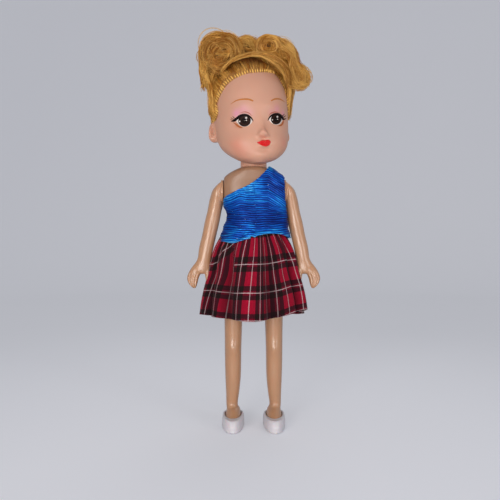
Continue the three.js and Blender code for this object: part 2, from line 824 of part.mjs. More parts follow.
// The skirt is one closed cloth: down the outside, round the hem and up the inside
function skirtBody() {
  const waist = torsoAt(skirtTopHeight);
  const stack = 2 * seatGap + elasticThickness + clothThickness;
  const at = ([down, width, depth, fold], inset) => {
    const deep = skirtFoldDepth * fold;
    const atWaist = stack + deep * (1 + slowFoldShare);
    const reach = (own, hem, share) => THREE.MathUtils.lerp(own + atWaist, hem - deep, share) - inset;
    const outline = ring({
      z: skirtTopHeight - skirtLength * down,
      halfWidth: reach(waist.halfWidth, skirtHemHalfWidth, width),
      front: reach(waist.front, skirtHemHalfDepth, depth),
      back: reach(waist.back, skirtHemHalfDepth, depth),
      power: THREE.MathUtils.lerp(softPower, roundPower, down),
    }, skirtSides);
    return outline.map((point, i) => {
      const angle = (i / skirtSides) * Math.PI * 2;
      const wave = Math.cos(skirtFolds * angle + Math.PI) + slowFoldShare * Math.cos(slowFolds * angle);
      const radius = Math.hypot(point.x, point.y);
      const stretch = 1 + (deep * wave) / radius;
      return new THREE.Vector3(point.x * stretch, point.y * stretch, point.z);
    });
  };
  const outer = skirtShares.map((row) => at(row, 0));
  const lining = skirtShares.filter((row, i) => i % 2 === 0 || i === skirtShares.length - 1);
  const inner = lining.map((row) => at(row, clothThickness)).reverse();
  const rings = [...outer, ...inner];
  const index = [];
  for (let r = 0; r < rings.length; r += 1) {
    const next = (r + 1) % rings.length;
    for (let i = 0; i < skirtSides; i += 1) {
      const j = (i + 1) % skirtSides;
      const near = r * skirtSides;
      const beyond = next * skirtSides;
      index.push(near + i, beyond + j, near + j, near + i, beyond + i, beyond + j);
    }
  }
  return solid(surface(rings.flat(), index));
}

function waistElastic(bulk) {
  const high = skirtTopHeight - seatGap;
  const far = halfShoulder + overrun;
  const outer = solid(grown(bulk, seatGap + elasticThickness));
  const band = box([-far, -far, high - elasticHeight], [far, far, high]);
  return outer.subtract(solid(grown(bulk, seatGap))).intersect(band);
}

const doll = new THREE.Group();
doll.name = 'doll';

const shells = torsoShells();
doll.add(piece('torso_front', shells.front, finishes.hardSkin));
doll.add(piece('torso_back', shells.back, finishes.hardSkin));

const headBulk = headSkin(headSides);
headFrame.add(piece('head_shell', headShell(headBulk), finishes.vinyl));
headFrame.add(piece('hair_scalp', scalpHair(headBulk), finishes.hair));
headFrame.add(piece('hair_bun_right', bunHair(headBulk, bunShares.right), finishes.hair));
headFrame.add(piece('hair_bun_left', bunHair(headBulk, bunShares.left, tailShares), finishes.hair));
headFrame.add(piece('hair_tie_right', tieOn(bunShares.right, 0), finishes.elastic));
headFrame.add(piece('hair_tie_left', tieOn(bunShares.left, 0), finishes.elastic));
doll.add(headSet);

const limbs = [
  { name: 'arm', body: armBody(), height: shoulderHeight },
  { name: 'leg', body: legBody(), height: hipHeight },
  { name: 'shoe', body: shoeBody(), height: 0 },
];
for (const { name, body, height } of limbs) {
  const finish = name === 'shoe' ? finishes.shoe : finishes.hardSkin;
  const left = piece(`${name}_left`, body, finish);
  const right = mirrored(left, `${name}_right`);
  left.position.z = height;
  right.position.z = height;
  doll.add(left, right);
}

doll.add(piece('top_body', topBody(shells.bulk), finishes.lurex));
doll.add(piece('top_closure_loop', closureStrip(0), finishes.strip));
doll.add(piece('top_closure_hook', closureStrip(1), finishes.strip));
doll.add(piece('skirt', skirtBody(), finishes.tartan));
doll.add(piece('skirt_elastic', waistElastic(shells.bulk), finishes.elastic));

export default doll;
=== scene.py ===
# The looks of a standing play doll: hard and soft skin, a painted face, rooted hair in two loose buns,
# a crinkled one-shoulder top and a gathered tartan skirt. Sizes are in millimetres until a mesh is made.

import math

import bmesh
import bpy
import numpy as np
from mathutils import Matrix, Vector
from mathutils.bvhtree import BVHTree


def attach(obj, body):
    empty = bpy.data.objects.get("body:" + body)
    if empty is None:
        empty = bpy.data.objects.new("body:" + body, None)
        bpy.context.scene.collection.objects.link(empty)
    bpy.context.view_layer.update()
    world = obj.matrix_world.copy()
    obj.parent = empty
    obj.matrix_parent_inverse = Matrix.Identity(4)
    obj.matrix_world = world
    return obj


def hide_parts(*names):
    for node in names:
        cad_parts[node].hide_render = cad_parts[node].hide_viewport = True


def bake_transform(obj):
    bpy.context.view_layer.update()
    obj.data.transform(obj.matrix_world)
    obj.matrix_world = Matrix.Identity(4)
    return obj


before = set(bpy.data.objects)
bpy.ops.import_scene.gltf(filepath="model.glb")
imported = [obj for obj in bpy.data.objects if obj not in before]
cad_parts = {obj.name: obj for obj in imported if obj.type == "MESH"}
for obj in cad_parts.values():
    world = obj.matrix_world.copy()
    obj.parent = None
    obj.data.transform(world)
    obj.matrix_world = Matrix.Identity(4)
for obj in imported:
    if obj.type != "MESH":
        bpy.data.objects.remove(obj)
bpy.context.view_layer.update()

MM = 0.001

# Heights and body sizes
HIP = 103
SHOULDER = 151
SEAM = 165.9
PIVOT = 170
CROTCH = 93
HALF_SHOULDER = 19.1
CHEST = 11
BACK = 10.2
SEAT_GAP = 0.3
SHELL_GAP = 0.1
ARM_INNER = HALF_SHOULDER + SEAT_GAP
LEG_INNER = 6.8
SHOULDER_RADIUS = 7.7
HIP_RADIUS = 10

# Head sizes, in the head's own frame: across, back and up from the neck pivot
HEAD_TURN = 12
HEAD_TILT = 2.5
HEAD_HEIGHT = 69.5
HEAD_WIDTH = 48
FACE_DEPTH = 23.5
SKULL_DEPTH = 27.2
CHIN_DROP = 3
CROWN = HEAD_HEIGHT - CHIN_DROP
EAR_BACK = 4.4

# Clothes
SKIRT_TOP = 124.6
SKIRT_LENGTH = 54.6
HEM_HALF_WIDTH = 35
HEM_HALF_DEPTH = 28.5
FLARE_TOP = 139.8
FLARE_BOTTOM = 115.8
TOP_HALF_DEPTH = 16.6
RIDGE_GAP = 1.4
TARTAN_REPEAT = 16.5
SHOE_WALL = 1.55
SHOE_HEIGHT = 7.6

# The camera of the photograph: its place, and how far a pixel reaches across at the doll's middle
CAMERA = Vector((-2.34, -360, 113.1))
PIXEL = 0.65
FRAME = 500
SENSOR = 36
LIGHT_SPREAD = math.radians(76)

HEAD_MM = (
    Matrix.Translation((0, 0, PIVOT))
    @ Matrix.Rotation(math.radians(-HEAD_TILT), 4, "Y")
    @ Matrix.Rotation(math.radians(HEAD_TURN), 4, "Z")
)
HEAD = HEAD_MM.copy()
HEAD.translation *= MM
INTO_HEAD = HEAD_MM.inverted()

# The torso's outline up its height: half width, front and back depth as shares, and how square it is
torso_shares = [
    [0, 0.28, 0.4, 0.42, 0],
    [0.02, 0.42, 0.62, 0.66, 0],
    [0.07, 0.62, 0.84, 0.92, 0],
    [0.15, 0.9, 0.95, 1.06, 0],
    [0.21, 0.94, 0.97, 1.08, 0],
    [0.275, 0.92, 0.95, 1.02, 0],
    [0.44, 0.78, 0.85, 0.84, 0],
    [0.51, 0.775, 0.86, 0.84, 0.1],
    [0.6, 0.84, 0.94, 0.9, 0.5],
    [0.71, 1.03, 1.02, 1, 1],
    [0.78, 1.07, 1, 1.02, 1],
    [0.9, 1.04, 0.94, 1, 1],
    [0.926, 0.97, 0.94, 0.99, 1],
    [0.952, 0.85, 0.94, 0.98, 0.9],
    [0.975, 0.7, 0.94, 0.97, 0.6],
    [1, 0.515, 0.88, 0.93, 0],
]
# The skull's outline up its height: half width, face depth and depth at the back, as shares
head_shares = [
    [0, 0.16, 0.83, -0.4],
    [0.03, 0.43, 0.92, -0.12],
    [0.07, 0.625, 0.97, 0.1],
    [0.115, 0.77, 0.99, 0.32],
    [0.16, 0.865, 1, 0.52],
    [0.215, 0.93, 0.99, 0.7],
    [0.27, 0.965, 0.97, 0.82],
    [0.34, 0.99, 0.945, 0.9],
    [0.43, 1, 0.955, 0.96],
    [0.53, 1, 0.98, 1],
    [0.64, 0.98, 0.94, 0.99],
    [0.745, 0.91, 0.83, 0.93],
    [0.83, 0.79, 0.67, 0.81],
    [0.9, 0.63, 0.49, 0.65],
    [0.955, 0.42, 0.28, 0.44],
    [0.988, 0.2, 0.08, 0.23],
    [1, 0.02, -0.07, 0.1],
]


# Numbers between the rows of a table, on smooth curves through them; past its ends, those of its end rows
def between(rows, places):
    rows = np.array(rows, float)
    places = np.atleast_1d(np.asarray(places, float))
    x = rows[:, 0]
    y = rows[:, 1:]
    slope = np.gradient(y, x, axis=0)
    i = np.clip(np.searchsorted(x, places) - 1, 0, len(x) - 2)
    step = (x[i + 1] - x[i])[:, None]
    t = np.clip((places - x[i])[:, None] / step, 0, 1)
    return (
        (2 * t**3 - 3 * t**2 + 1) * y[i]
        + (t**3 - 2 * t**2 + t) * step * slope[i]
        + (3 * t**2 - 2 * t**3) * y[i + 1]
        + (t**3 - t**2) * step * slope[i + 1]
    )


# Points of a rounded outline at each height: rows of z, x, y, half width, front, back and power
def outlines(rows, sides, angles=None):
    rows = np.array(rows, float)[:, :, None]
    z, x, y, half_width, front, back, power = (rows[:, k] for k in range(7))
    if angles is None:
        angles = np.arange(sides) / sides * 2 * math.pi
    c = np.cos(angles)[None]
    s = np.sin(angles)[None]
    across = half_width * np.sign(c) * np.abs(c) ** (2 / power)
    deep = np.where(s < 0, front, back) * np.sign(s) * np.abs(s) ** (2 / power)
    return np.stack([x + across, y + deep, z + 0 * c], axis=-1)


# A share from 0 to 1 that starts and ends softly
def eased(share):
    return share**2 * (3 - 2 * share)


def unit(vectors):
    return vectors / (np.linalg.norm(vectors, axis=-1, keepdims=True) + 1e-9)


# Two directions square to an axis and to each other
def square_to(axis, hint):
    first = unit(np.cross(axis, hint))
    return first, np.cross(axis, first)


# How far along a line of places each of them is
def travelled(places):
    return np.concatenate([[0], np.cumsum(np.linalg.norm(np.diff(places, axis=0), axis=1))])


# The faces of a grid of points, row by row, closed round each row where asked
def grid_faces(rows, columns, around=True):
    last = columns if around else columns - 1
    i = np.arange(last)
    j = (i + 1) % columns
    r = np.arange(rows - 1)[:, None] * columns
    return np.stack([r + i, r + j, r + columns + j, r + columns + i], axis=-1).reshape(-1, 4).tolist()


# A closed skin over rings of points, lowest first
def skin(rings):
    rows, sides = rings.shape[:2]
    points = np.concatenate([rings.reshape(-1, 3), rings[:1].mean(1), rings[-1:].mean(1)])
    faces = grid_faces(rows, sides)
    last = (rows - 1) * sides
    low = rows * sides
    for i in range(sides):
        j = (i + 1) % sides
        faces.append([low, j, i])
        faces.append([low + 1, last + i, last + j])
    return points, faces


def shade_smooth(mesh):
    mesh.polygons.foreach_set("use_smooth", [True] * len(mesh.polygons))


# A mesh object from points in millimetres
def mesh_object(name, points, faces, paint=None):
    mesh = bpy.data.meshes.new(name)
    mesh.from_pydata((np.asarray(points, float) * MM).tolist(), [], faces)
    mesh.validate()
    made = bpy.data.objects.new(name, mesh)
    bpy.context.scene.collection.objects.link(made)
    if paint is not None:
        mesh.materials.append(paint)
    shade_smooth(mesh)
    return made


def read_points(made, key):
    flat = np.zeros(len(made.data.vertices) * 3, np.float32)
    made.data.vertices.foreach_get(key, flat)
    return flat.reshape(-1, 3).astype(float)


def points_of(made):
    return read_points(made, "co") / MM


def set_points(made, points):
    made.data.vertices.foreach_set("co", (np.asarray(points) * MM).astype(np.float32).ravel())
    made.data.update()


# A number at each point of a mesh, for its material to read
def mark(made, name, values):
    attribute = made.data.attributes.new(name, "FLOAT", "POINT")
    attribute.data.foreach_set("value", np.asarray(values, np.float32))


# Replaces a piece's mesh by what its modifiers make of it
def settle(made):
    graph = bpy.context.evaluated_depsgraph_get()
    graph.update()
    done = bpy.data.meshes.new_from_object(made.evaluated_get(graph))
    made.modifiers.clear()
    old = made.data
    done.materials.clear()
    for paint in old.materials:
        done.materials.append(paint)
    made.data = done
    done.name = old.name + "_settled"
    bpy.data.meshes.remove(old)
    shade_smooth(done)
    return made


def modify(made, kind, **settings):
    modifier = made.modifiers.new(kind, kind)
    for key, value in settings.items():
        setattr(modifier, key, value)


# A piece that moves with a body and stands for a CAD node, which it hides
def stand_in(made, body, node):
    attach(made, body)
    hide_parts(node)


# A piece of hair, modelled in the head's own frame
def in_hair(made):
    made.matrix_world = HEAD
    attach(made, "head")


# One skin round several closed ones that reach into each other
def fused(name, parts, voxel, rounds, paint):
    points = []
    faces = []
    for part_points, part_faces in parts:
        faces += [[i + len(points) for i in face] for face in part_faces]
        points += list(part_points)
    made = mesh_object(name, points, faces, paint)
    modify(made, "REMESH", mode="VOXEL", voxel_size=voxel * MM, adaptivity=0)
    if rounds:
        modify(made, "SMOOTH", factor=0.5, iterations=rounds)
    return settle(made)


# Cuts closed meshes out of another
def cut(made, tools):
    for points, faces in tools:
        tool = mesh_object("tool", points, faces)
        modify(made, "BOOLEAN", operation="DIFFERENCE", object=tool, solver="EXACT")
        settle(made)
        bpy.data.objects.remove(tool)
    return made


# Keeps what lies beyond a plane and closes the cut
def keep_side(made, place, normal):
    shape = bmesh.new()
    shape.from_mesh(made.data)
    whole = shape.verts[:] + shape.edges[:] + shape.faces[:]
    done = bmesh.ops.bisect_plane(
        shape, geom=whole, plane_co=Vector(place) * MM, plane_no=normal, clear_inner=True,
    )
    rim = [item for item in done["geom_cut"] if isinstance(item, bmesh.types.BMEdge)]
    bmesh.ops.holes_fill(shape, edges=rim, sides=0)
    shape.to_mesh(made.data)
    shape.free()
    shade_smooth(made.data)


# A round bar across the doll, as points and faces
def bar(radius, low, high, sides, up=0):
    angles = np.arange(sides) / sides * 2 * math.pi
    rings = np.zeros((2, sides, 3))
    rings[:, :, 0] = [[low], [high]]
    rings[:, :, 1] = radius * np.cos(angles)
    rings[:, :, 2] = up + radius * np.sin(angles)
    return skin(rings)


def box(low, high):
    corners = [(low[0], low[1]), (high[0], low[1]), (high[0], high[1]), (low[0], high[1])]
    return skin(np.array([[[x, y, z] for x, y in corners] for z in (low[2], high[2])]))


def ball(reach, centre, sides=32):
    rows = np.linspace(-math.pi / 2, math.pi / 2, sides // 2 + 1)[1:-1]
    angles = np.arange(sides) / sides * 2 * math.pi
    rings = np.zeros((len(rows), sides, 3))
    rings[:, :, 0] = centre[0] + reach[0] * np.cos(rows)[:, None] * np.cos(angles)
    rings[:, :, 1] = centre[1] + reach[1] * np.cos(rows)[:, None] * np.sin(angles)
    rings[:, :, 2] = centre[2] + reach[2] * np.sin(rows)[:, None] + 0 * angles
    return skin(rings)


# Rings of points round many paths at once: paths by steps by place
def sweep(paths, radii, sides, away):
    along = unit(np.gradient(paths, axis=1))
    side = unit(np.cross(along, away))
    up = np.cross(side, along)
    angles = np.arange(sides) / sides * 2 * math.pi
    ring = np.cos(angles)[:, None] * side[:, :, None] + np.sin(angles)[:, None] * up[:, :, None]
    return paths[:, :, None] + ring * radii[:, :, None, None]


# Many closed strands as one mesh
def strands(name, paths, radii, paint, away, sides, shade):
    count, steps = paths.shape[:2]
    rings = sweep(paths, radii, sides, away)
    one = np.array(grid_faces(steps, sides))
    per = steps * sides
    starts = (np.arange(count) * per)[:, None, None]
    faces = (one[None] + starts).reshape(-1, 4).tolist()
    low = list(range(sides))[::-1]
    high = [per - sides + k for k in range(sides)]
    for start in range(0, count * per, per):
        faces.append([start + k for k in low])
        faces.append([start + k for k in high])
    made = mesh_object(name, rings.reshape(-1, 3), faces, paint)
    mark(made, "lock", np.repeat(shade, per))
    mark(made, "along", np.tile(np.repeat(np.linspace(0, 1, steps), sides), count))
    return made


# A material's node tree, with a short way to add nodes and join them
class Paint:
    def __init__(self, name, **sockets):
        self.material = bpy.data.materials.new(name)
        self.material.use_nodes = True
        self.tree = self.material.node_tree
        self.shader = self.tree.nodes["Principled BSDF"]
        for socket, value in sockets.items():
            self.set(socket.replace("_", " "), value)

    def set(self, socket, value):
        self.join(self.shader.inputs[socket], value)

    def join(self, socket, value):
        if isinstance(value, bpy.types.NodeSocket):
            self.tree.links.new(value, socket)
        else:
            socket.default_value = value

    def add(self, kind, inputs=None, out=0, **settings):
        node = self.tree.nodes.new("ShaderNode" + kind)
        for key, value in settings.items():
            setattr(node, key, value)
        for socket, value in (inputs or {}).items():
            self.join(node.inputs[socket], value)
        return node.outputs[out]

    def math(self, operation, a, b=0.0, c=0.0):
        return self.add("Math", {0: a, 1: b, 2: c}, operation=operation)

    def times(self, a, b):
        return self.math("MULTIPLY", a, b)

    def mix(self, share, a, b, blend="MIX"):
        return self.add("Mix", {0: share, 6: a, 7: b}, 2, data_type="RGBA", blend_type=blend)

    def place(self):
        return self.add("TexCoord", out=3)

    def noise(self, scale, detail, roughness=0.55, vector=None):
        inputs = {"Vector": vector or self.place(), "Scale": scale, "Detail": detail, "Roughness": roughness}
        return self.add("TexNoise", inputs)

    def ramp(self, share, stops):
        node = self.tree.nodes.new("ShaderNodeValToRGB")
        self.join(node.inputs[0], share)
        stop = node.color_ramp.elements
        while len(stop) < len(stops):
            stop.new(0.5)
        for k, (at, colour) in enumerate(stops):
            stop[k].position = at
            stop[k].color = colour
        return node.outputs[0]

    def value(self, name):
        return self.add("Attribute", out=2, attribute_name=name)

    # A colour turned towards another one where a mark of the mesh says so
    def tint(self, base, name, share, colour):
        return self.mix(self.times(self.value(name), share), base, colour)

    def bump(self, height, strength, distance):
        made = self.add("Bump", {"Strength": strength, "Distance": distance * MM, "Height": height})
        self.set("Normal", made)


# A colour as it is written on a screen, 0 to 255, for a node
def rgb(red, green, blue):
    parts = [v / 255 for v in (red, green, blue)]
    linear = [v / 12.92 if v <= 0.04045 else ((v + 0.055) / 1.055) ** 2.4 for v in parts]
    return (*linear, 1)


def skin_paint(name, colour, warm, roughness, depth, shine):
    paint = Paint(name, Roughness=roughness, Subsurface_Weight=depth, Subsurface_Scale=0.002)
    paint.shader.inputs["Subsurface Radius"].default_value = (1, 0.4, 0.25)
    paint.set("Coat Weight", shine)
    paint.set("Coat Roughness", 0.25)
    blotch = paint.noise(90, 2)
    base = paint.mix(paint.times(blotch, 0.35), colour, warm)
    return paint, base


def vinyl_paint():
    paint, base = skin_paint("head_vinyl", rgb(202, 151, 127), rgb(194, 138, 113), 0.5, 0.2, 0.05)
    base = paint.tint(base, "blush", 0.36, rgb(226, 120, 100))
    base = paint.tint(base, "lilac", 0.6, rgb(214, 130, 170))
    base = paint.tint(base, "umber", 0.8, rgb(176, 96, 40))
    paint.set("Base Color", base)
    paint.bump(paint.noise(1400, 4), 0.12, 0.05)
    return paint.material


def plastic_paint(name, colour, warm, shine):
    paint, base = skin_paint(name, colour, warm, 0.3, 0.1, shine)
    paint.set("Base Color", base)
    paint.bump(paint.noise(700, 3), 0.08, 0.05)
    paint.set("Roughness", paint.math("MULTIPLY_ADD", paint.noise(260, 3), 0.16, 0.26))
    return paint.material


# Hair: each lock has its own tone, lighter at its root as a painted highlight where the plugs glint, and
# darker where it lies in the shade, as painted shade
def hair_paint():
    light = rgb(234, 185, 98)
    paint = Paint("hair", Roughness=0.5, Specular_IOR_Level=0.35)
    tone = paint.math("MULTIPLY_ADD", paint.noise(900, 2), 0.3, paint.times(paint.value("lock"), 0.8))
    base = paint.ramp(tone, [(0.08, rgb(104, 52, 4)), (0.42, rgb(178, 113, 30)), (0.9, light)])
    root = paint.math("SUBTRACT", 1, paint.math("MINIMUM", paint.times(paint.value("along"), 9), 1))
    base = paint.mix(paint.times(root, 0.35), base, light)
    paint.set("Base Color", paint.tint(base, "painted_hollow_shade", 0.9, rgb(112, 52, 4)))
    return paint.material


# The scalp under the locks: streaks that run towards each bun
def cap_paint():
    paint = Paint("hair_cap", Roughness=0.5)
    streak = paint.add("CombineXYZ", {0: paint.times(paint.value("across"), 60), 1: paint.value("along")})
    fine = paint.noise(1, 3, 0.7, streak)
    base = paint.ramp(fine, [(0.3, rgb(96, 52, 10)), (0.5, rgb(150, 96, 36)), (0.72, rgb(196, 146, 76))])
    # Painted shade: darker where the hair above shades the front of the crown, and inside the buns
    base = paint.mix(paint.value("painted_hollow_shade"), base, rgb(84, 42, 8))
    paint.set("Base Color", base)
    paint.bump(fine, 0.5, 0.4)
    return paint.material


# A plain finish of two near tones
def flat_paint(name, colour, roughness, other, scale=600, shine=0.3):
    paint = Paint(name, Roughness=roughness, Specular_IOR_Level=shine)
    shade = paint.noise(scale, 2)
    paint.set("Base Color", paint.mix(paint.times(shade, 0.5), colour, other))
    paint.bump(shade, 0.3, 0.1)
    return paint.material


# Levels of the top that catch the light, and their distance
SHEEN_AT = 147
SHEEN_GAP = 26


# Crinkled cloth with metal thread: ridges follow the cloth's own level, broken into streaks
def lurex_paint():
    paint = Paint("lurex_cloth", Roughness=0.45, Metallic=0.45, Specular_IOR_Level=0.2)
    level = paint.value("level")
    around = paint.times(paint.value("around"), 0.11)
    cloth = paint.add("CombineXYZ", {0: around, 1: paint.times(level, 0.85)})
    streak = paint.noise(1, 3, 0.6, cloth)
    turn = paint.times(level, 2 * math.pi / RIDGE_GAP)
    ridge = paint.math("SINE", paint.math("MULTIPLY_ADD", streak, 1.6, turn))
    tone = paint.math("MULTIPLY_ADD", ridge, 0.13, paint.math("MULTIPLY_ADD", streak, 0.9, -0.22))
    tone = paint.math("ADD", tone, paint.math("MULTIPLY_ADD", paint.noise(70, 2), 0.5, -0.1))
    tone = paint.math("MULTIPLY_ADD", paint.value("rim"), 0.2, tone)
    sheen_start = math.pi * (0.5 - 2 * SHEEN_AT / SHEEN_GAP)
    sheen = paint.math("SINE", paint.math("MULTIPLY_ADD", level, 2 * math.pi / SHEEN_GAP, sheen_start))
    tone = paint.math("MULTIPLY_ADD", sheen, 0.09, tone)
    base = paint.ramp(tone, [
        (0.16, rgb(0, 20, 84)), (0.38, rgb(0, 56, 148)), (0.54, rgb(0, 92, 184)), (0.68, rgb(24, 138, 212)),
        (0.88, rgb(100, 186, 228)),
    ])
    glitter = paint.add("TexVoronoi", {"Vector": paint.place(), "Scale": 1300.0})
    sparse = paint.math("GREATER_THAN", paint.noise(800, 1), 0.7)
    spark = paint.times(paint.math("LESS_THAN", glitter, 0.22), sparse)
    paint.set("Base Color", paint.mix(paint.times(spark, 0.8), base, rgb(176, 214, 236)))
    paint.bump(paint.math("ADD", tone, paint.times(paint.noise(1500, 2), 0.2)), 0.8, 0.35)
    return paint.material


# Woven tartan: each direction has its own stripes, which darken each other where they cross
def tartan_paint():
    paint = Paint("tartan_cloth", Roughness=0.9, Specular_IOR_Level=0.12)
    paint.set("Sheen Weight", 0.04)
    red = rgb(160, 8, 42)
    black = rgb(22, 18, 14)
    maroon = rgb(78, 6, 24)
    white = rgb(200, 180, 180)

    def stripes(name, extra):
        share = paint.math("FRACT", paint.math("DIVIDE", paint.value(name), TARTAN_REPEAT))
        stops = [(0, white), (0.028, maroon), (0.1, black), (0.265, red)]
        if extra:
            stops += [(0.5, white), (0.526, red)]
        stops += [(0.765, black), (0.93, maroon)]
        ramp = paint.ramp(share, stops)
        ramp.node.color_ramp.interpolation = "CONSTANT"
        return ramp

    warp = stripes("across", True)
    weft = stripes("down", False)
    both = paint.mix(1.0, warp, weft, "MULTIPLY")
    base = paint.add("Gamma", {0: both, 1: 0.5})
    bright = paint.mix(1.0, warp, weft, "LIGHTEN")
    whiteness = paint.add("SeparateColor", {0: bright}, 2)
    worn = paint.math("MULTIPLY_ADD", paint.noise(700, 3), 0.6, 0.4)
    line = paint.times(paint.math("GREATER_THAN", whiteness, 0.3), worn)
    base = paint.mix(line, base, white)
    base = paint.mix(paint.times(paint.noise(420, 3), 0.4), base, rgb(34, 6, 14))
    # Painted shade darkens the cloth in the folds' valleys
    paint.set("Base Color", paint.tint(base, "fold_valley_shade", 0.8, rgb(24, 4, 10)))
    twill = paint.times(paint.math("ADD", paint.value("across"), paint.value("down")), 14)
    paint.bump(paint.math("SINE", twill), 0.35, 0.12)
    return paint.material


vinyl = vinyl_paint()
plastic = plastic_paint("body_plastic", rgb(182, 136, 102), rgb(172, 121, 86), 0.5)
# The torso's plastic is the arms' plastic painted darker: painted shade where the head shades the chest
torso_plastic_shaded = plastic_paint("torso_plastic_shaded", rgb(150, 112, 86), rgb(141, 102, 75), 0.15)
hair = hair_paint()
cap_hair = cap_paint()
lurex = lurex_paint()
tartan = tartan_paint()


# How far the line of sight through a pixel of the photograph runs across and up for each step back
def slopes(px, py):
    return (px - FRAME / 2) * PIXEL / -CAMERA.y, (FRAME / 2 - py) * PIXEL / -CAMERA.y


# That line in the head's own frame: where it starts, and its direction
def sight(px, py):
    across, up = slopes(px, py)
    return INTO_HEAD @ CAMERA, (INTO_HEAD.to_3x3() @ Vector((across, 1, up))).normalized()


# A soft bump round a place across and up, at each point
def gauss(points, centre, reach):
    across = (points[:, 0] - centre[0]) / reach[0]
    up = (points[:, 2] - centre[1]) / reach[1]
    return np.exp(-(across**2) - up**2)


def head_rings(rows, sides):
    spans = [np.linspace(0, 0.12, rows // 5), np.linspace(0.12, 0.92, rows), np.linspace(0.92, 1, rows // 5)]
    up = np.unique(np.round(np.concatenate(spans), 6))
    shares = between(head_shares, up)
    near = -FACE_DEPTH * shares[:, 1]
    far = SKULL_DEPTH * shares[:, 2]
    half_depth = (far - near) / 2
    none = np.zeros_like(up)
    table = [
        HEAD_HEIGHT * up - CHIN_DROP, none, (near + far) / 2, HEAD_WIDTH / 2 * shares[:, 0],
        half_depth, half_depth, none + 2,
    ]
    return outlines(np.column_stack(table), sides)


# Half sizes of each ear and how far back it is: the right one, nearer to the camera, stands out more
ears = {1: ((3.2, 3.4, 6.6), EAR_BACK + 1), -1: ((4.9, 3.4, 6.6), EAR_BACK)}
EAR_UP = 20.3

# The nose and mouth lie a little to the left of the skull's own middle
MID_FACE = 1.3
NOSE_UP = 13.8
NOSTRIL = 2.7

# Bulges and dents of the face: how deep each is, its place across and up, and its reach across and up
face_relief = {
    "nose": [(1.2, MID_FACE, 16, 2.6, 3.6), (0.6, MID_FACE, 20.5, 2.4, 4)],
    "nostrils": [(1.2, MID_FACE - NOSTRIL, 12.7, 1.5, 1.5), (1.2, MID_FACE + NOSTRIL, 12.7, 1.5, 1.5)],
    "cheeks": [(1.1, -12.5, 9.5, 7, 6), (1.1, 12.5, 9.5, 7, 6)],
    "brows": [(0.5, -9, 31, 6, 2.5), (0.5, 9, 31, 6, 2.5)],
    "eye_hollows": [(-1.5, -10.4, 21.8, 7.2, 4.6), (-1.5, 9.2, 22.4, 7.2, 4.6)],
    "eyes": [(1, -10.4, 21.8, 5.4, 3.6), (1, 9.2, 22.4, 5.4, 3.6)],
    "lips": [(1.1, MID_FACE, 8.5, 3.3, 1), (1.2, MID_FACE, 6.2, 2.7, 1.1), (-0.8, MID_FACE, 7.5, 3.6, 0.5)],
    "round_the_mouth": [(-0.6, MID_FACE, 3.9, 3.4, 1), (-0.5, MID_FACE, 10.6, 0.9, 0.9)],
    "chin": [(1.1, MID_FACE, 0.4, 4.5, 2.6)],
}
# Heights and radii of the neck plug and the neck over it
neck_profile = [
    (161.9, 7.6), (164.2, 7.6), (164.25, 6.2), (166.15, 6.2), (166.2, 8.2), (166.5, 8.5), (170, 8.4),
    (174, 8.6), (178, 9.4), (182, 10),
]


# Presses a hollow into each ear, from its front and from its side
def hollow_ears(points):
    for side in (-1, 1):
        out = side * points[:, 0] - HEAD_WIDTH / 2
        up = points[:, 2] - EAR_UP
        front = np.exp(-(((out - 1.9) / 1.3) ** 2) - ((up - 0.3) / 4.2) ** 2)
        front *= np.clip((EAR_BACK + 0.2 - points[:, 1]) / 1.5, 0, 1) * np.clip((out - 0.2) / 0.8, 0, 1)
        points[:, 1] += 2.3 * front
        points[:, 0] -= side * 0.5 * front
        flank = np.exp(-(((points[:, 1] - EAR_BACK - 0.6) / 1.7) ** 2) - ((up - 1.1) / 3.8) ** 2)
        points[:, 0] -= side * 1.5 * flank * np.clip((out - 1.5) / 0.8, 0, 1)


def head_piece():
    neck = outlines([[z, 0, 0, r, r, r, 2] for z, r in neck_profile], 48)
    neck = neck @ np.array(INTO_HEAD.to_3x3()).T + np.array(INTO_HEAD.translation)
    parts = [skin(head_rings(56, 96)), skin(neck)]
    for side, (reach, back) in ears.items():
        parts.append(ball(reach, (side * HEAD_WIDTH / 2, back, EAR_UP)))
    # The tip of the nose and its short bridge
    parts.append(ball((3, 2.9, 2.8), (MID_FACE, -FACE_DEPTH + 1.1, NOSE_UP)))
    parts.append(ball((2.3, 1.7, 3), (MID_FACE, -FACE_DEPTH + 1.8, NOSE_UP + 1.8)))
    made = fused("head_shell_soft", parts, voxel=0.45, rounds=0, paint=vinyl)
    points = points_of(made)
    front = np.clip(-read_points(made, "normal")[:, 1] * 1.6, 0, 1) * (points[:, 1] < 0)
    for forms in face_relief.values():
        for depth, across, up, half_width, half_height in forms:
            points[:, 1] -= depth * gauss(points, (across, up), (half_width, half_height)) * front
    hollow_ears(points)
    set_points(made, points)
    modify(made, "SMOOTH", factor=0.5, iterations=2)
    return settle(made)


head = head_piece()
head.matrix_world = HEAD
head_points = points_of(head)
head_tree = BVHTree.FromPolygons(
    [tuple(p) for p in head_points], [list(p.vertices) for p in head.data.polygons]
)


def on_face(px, py):
    hit, normal, _, _ = head_tree.ray_cast(*sight(px, py))
    return np.array(hit), np.array(normal)


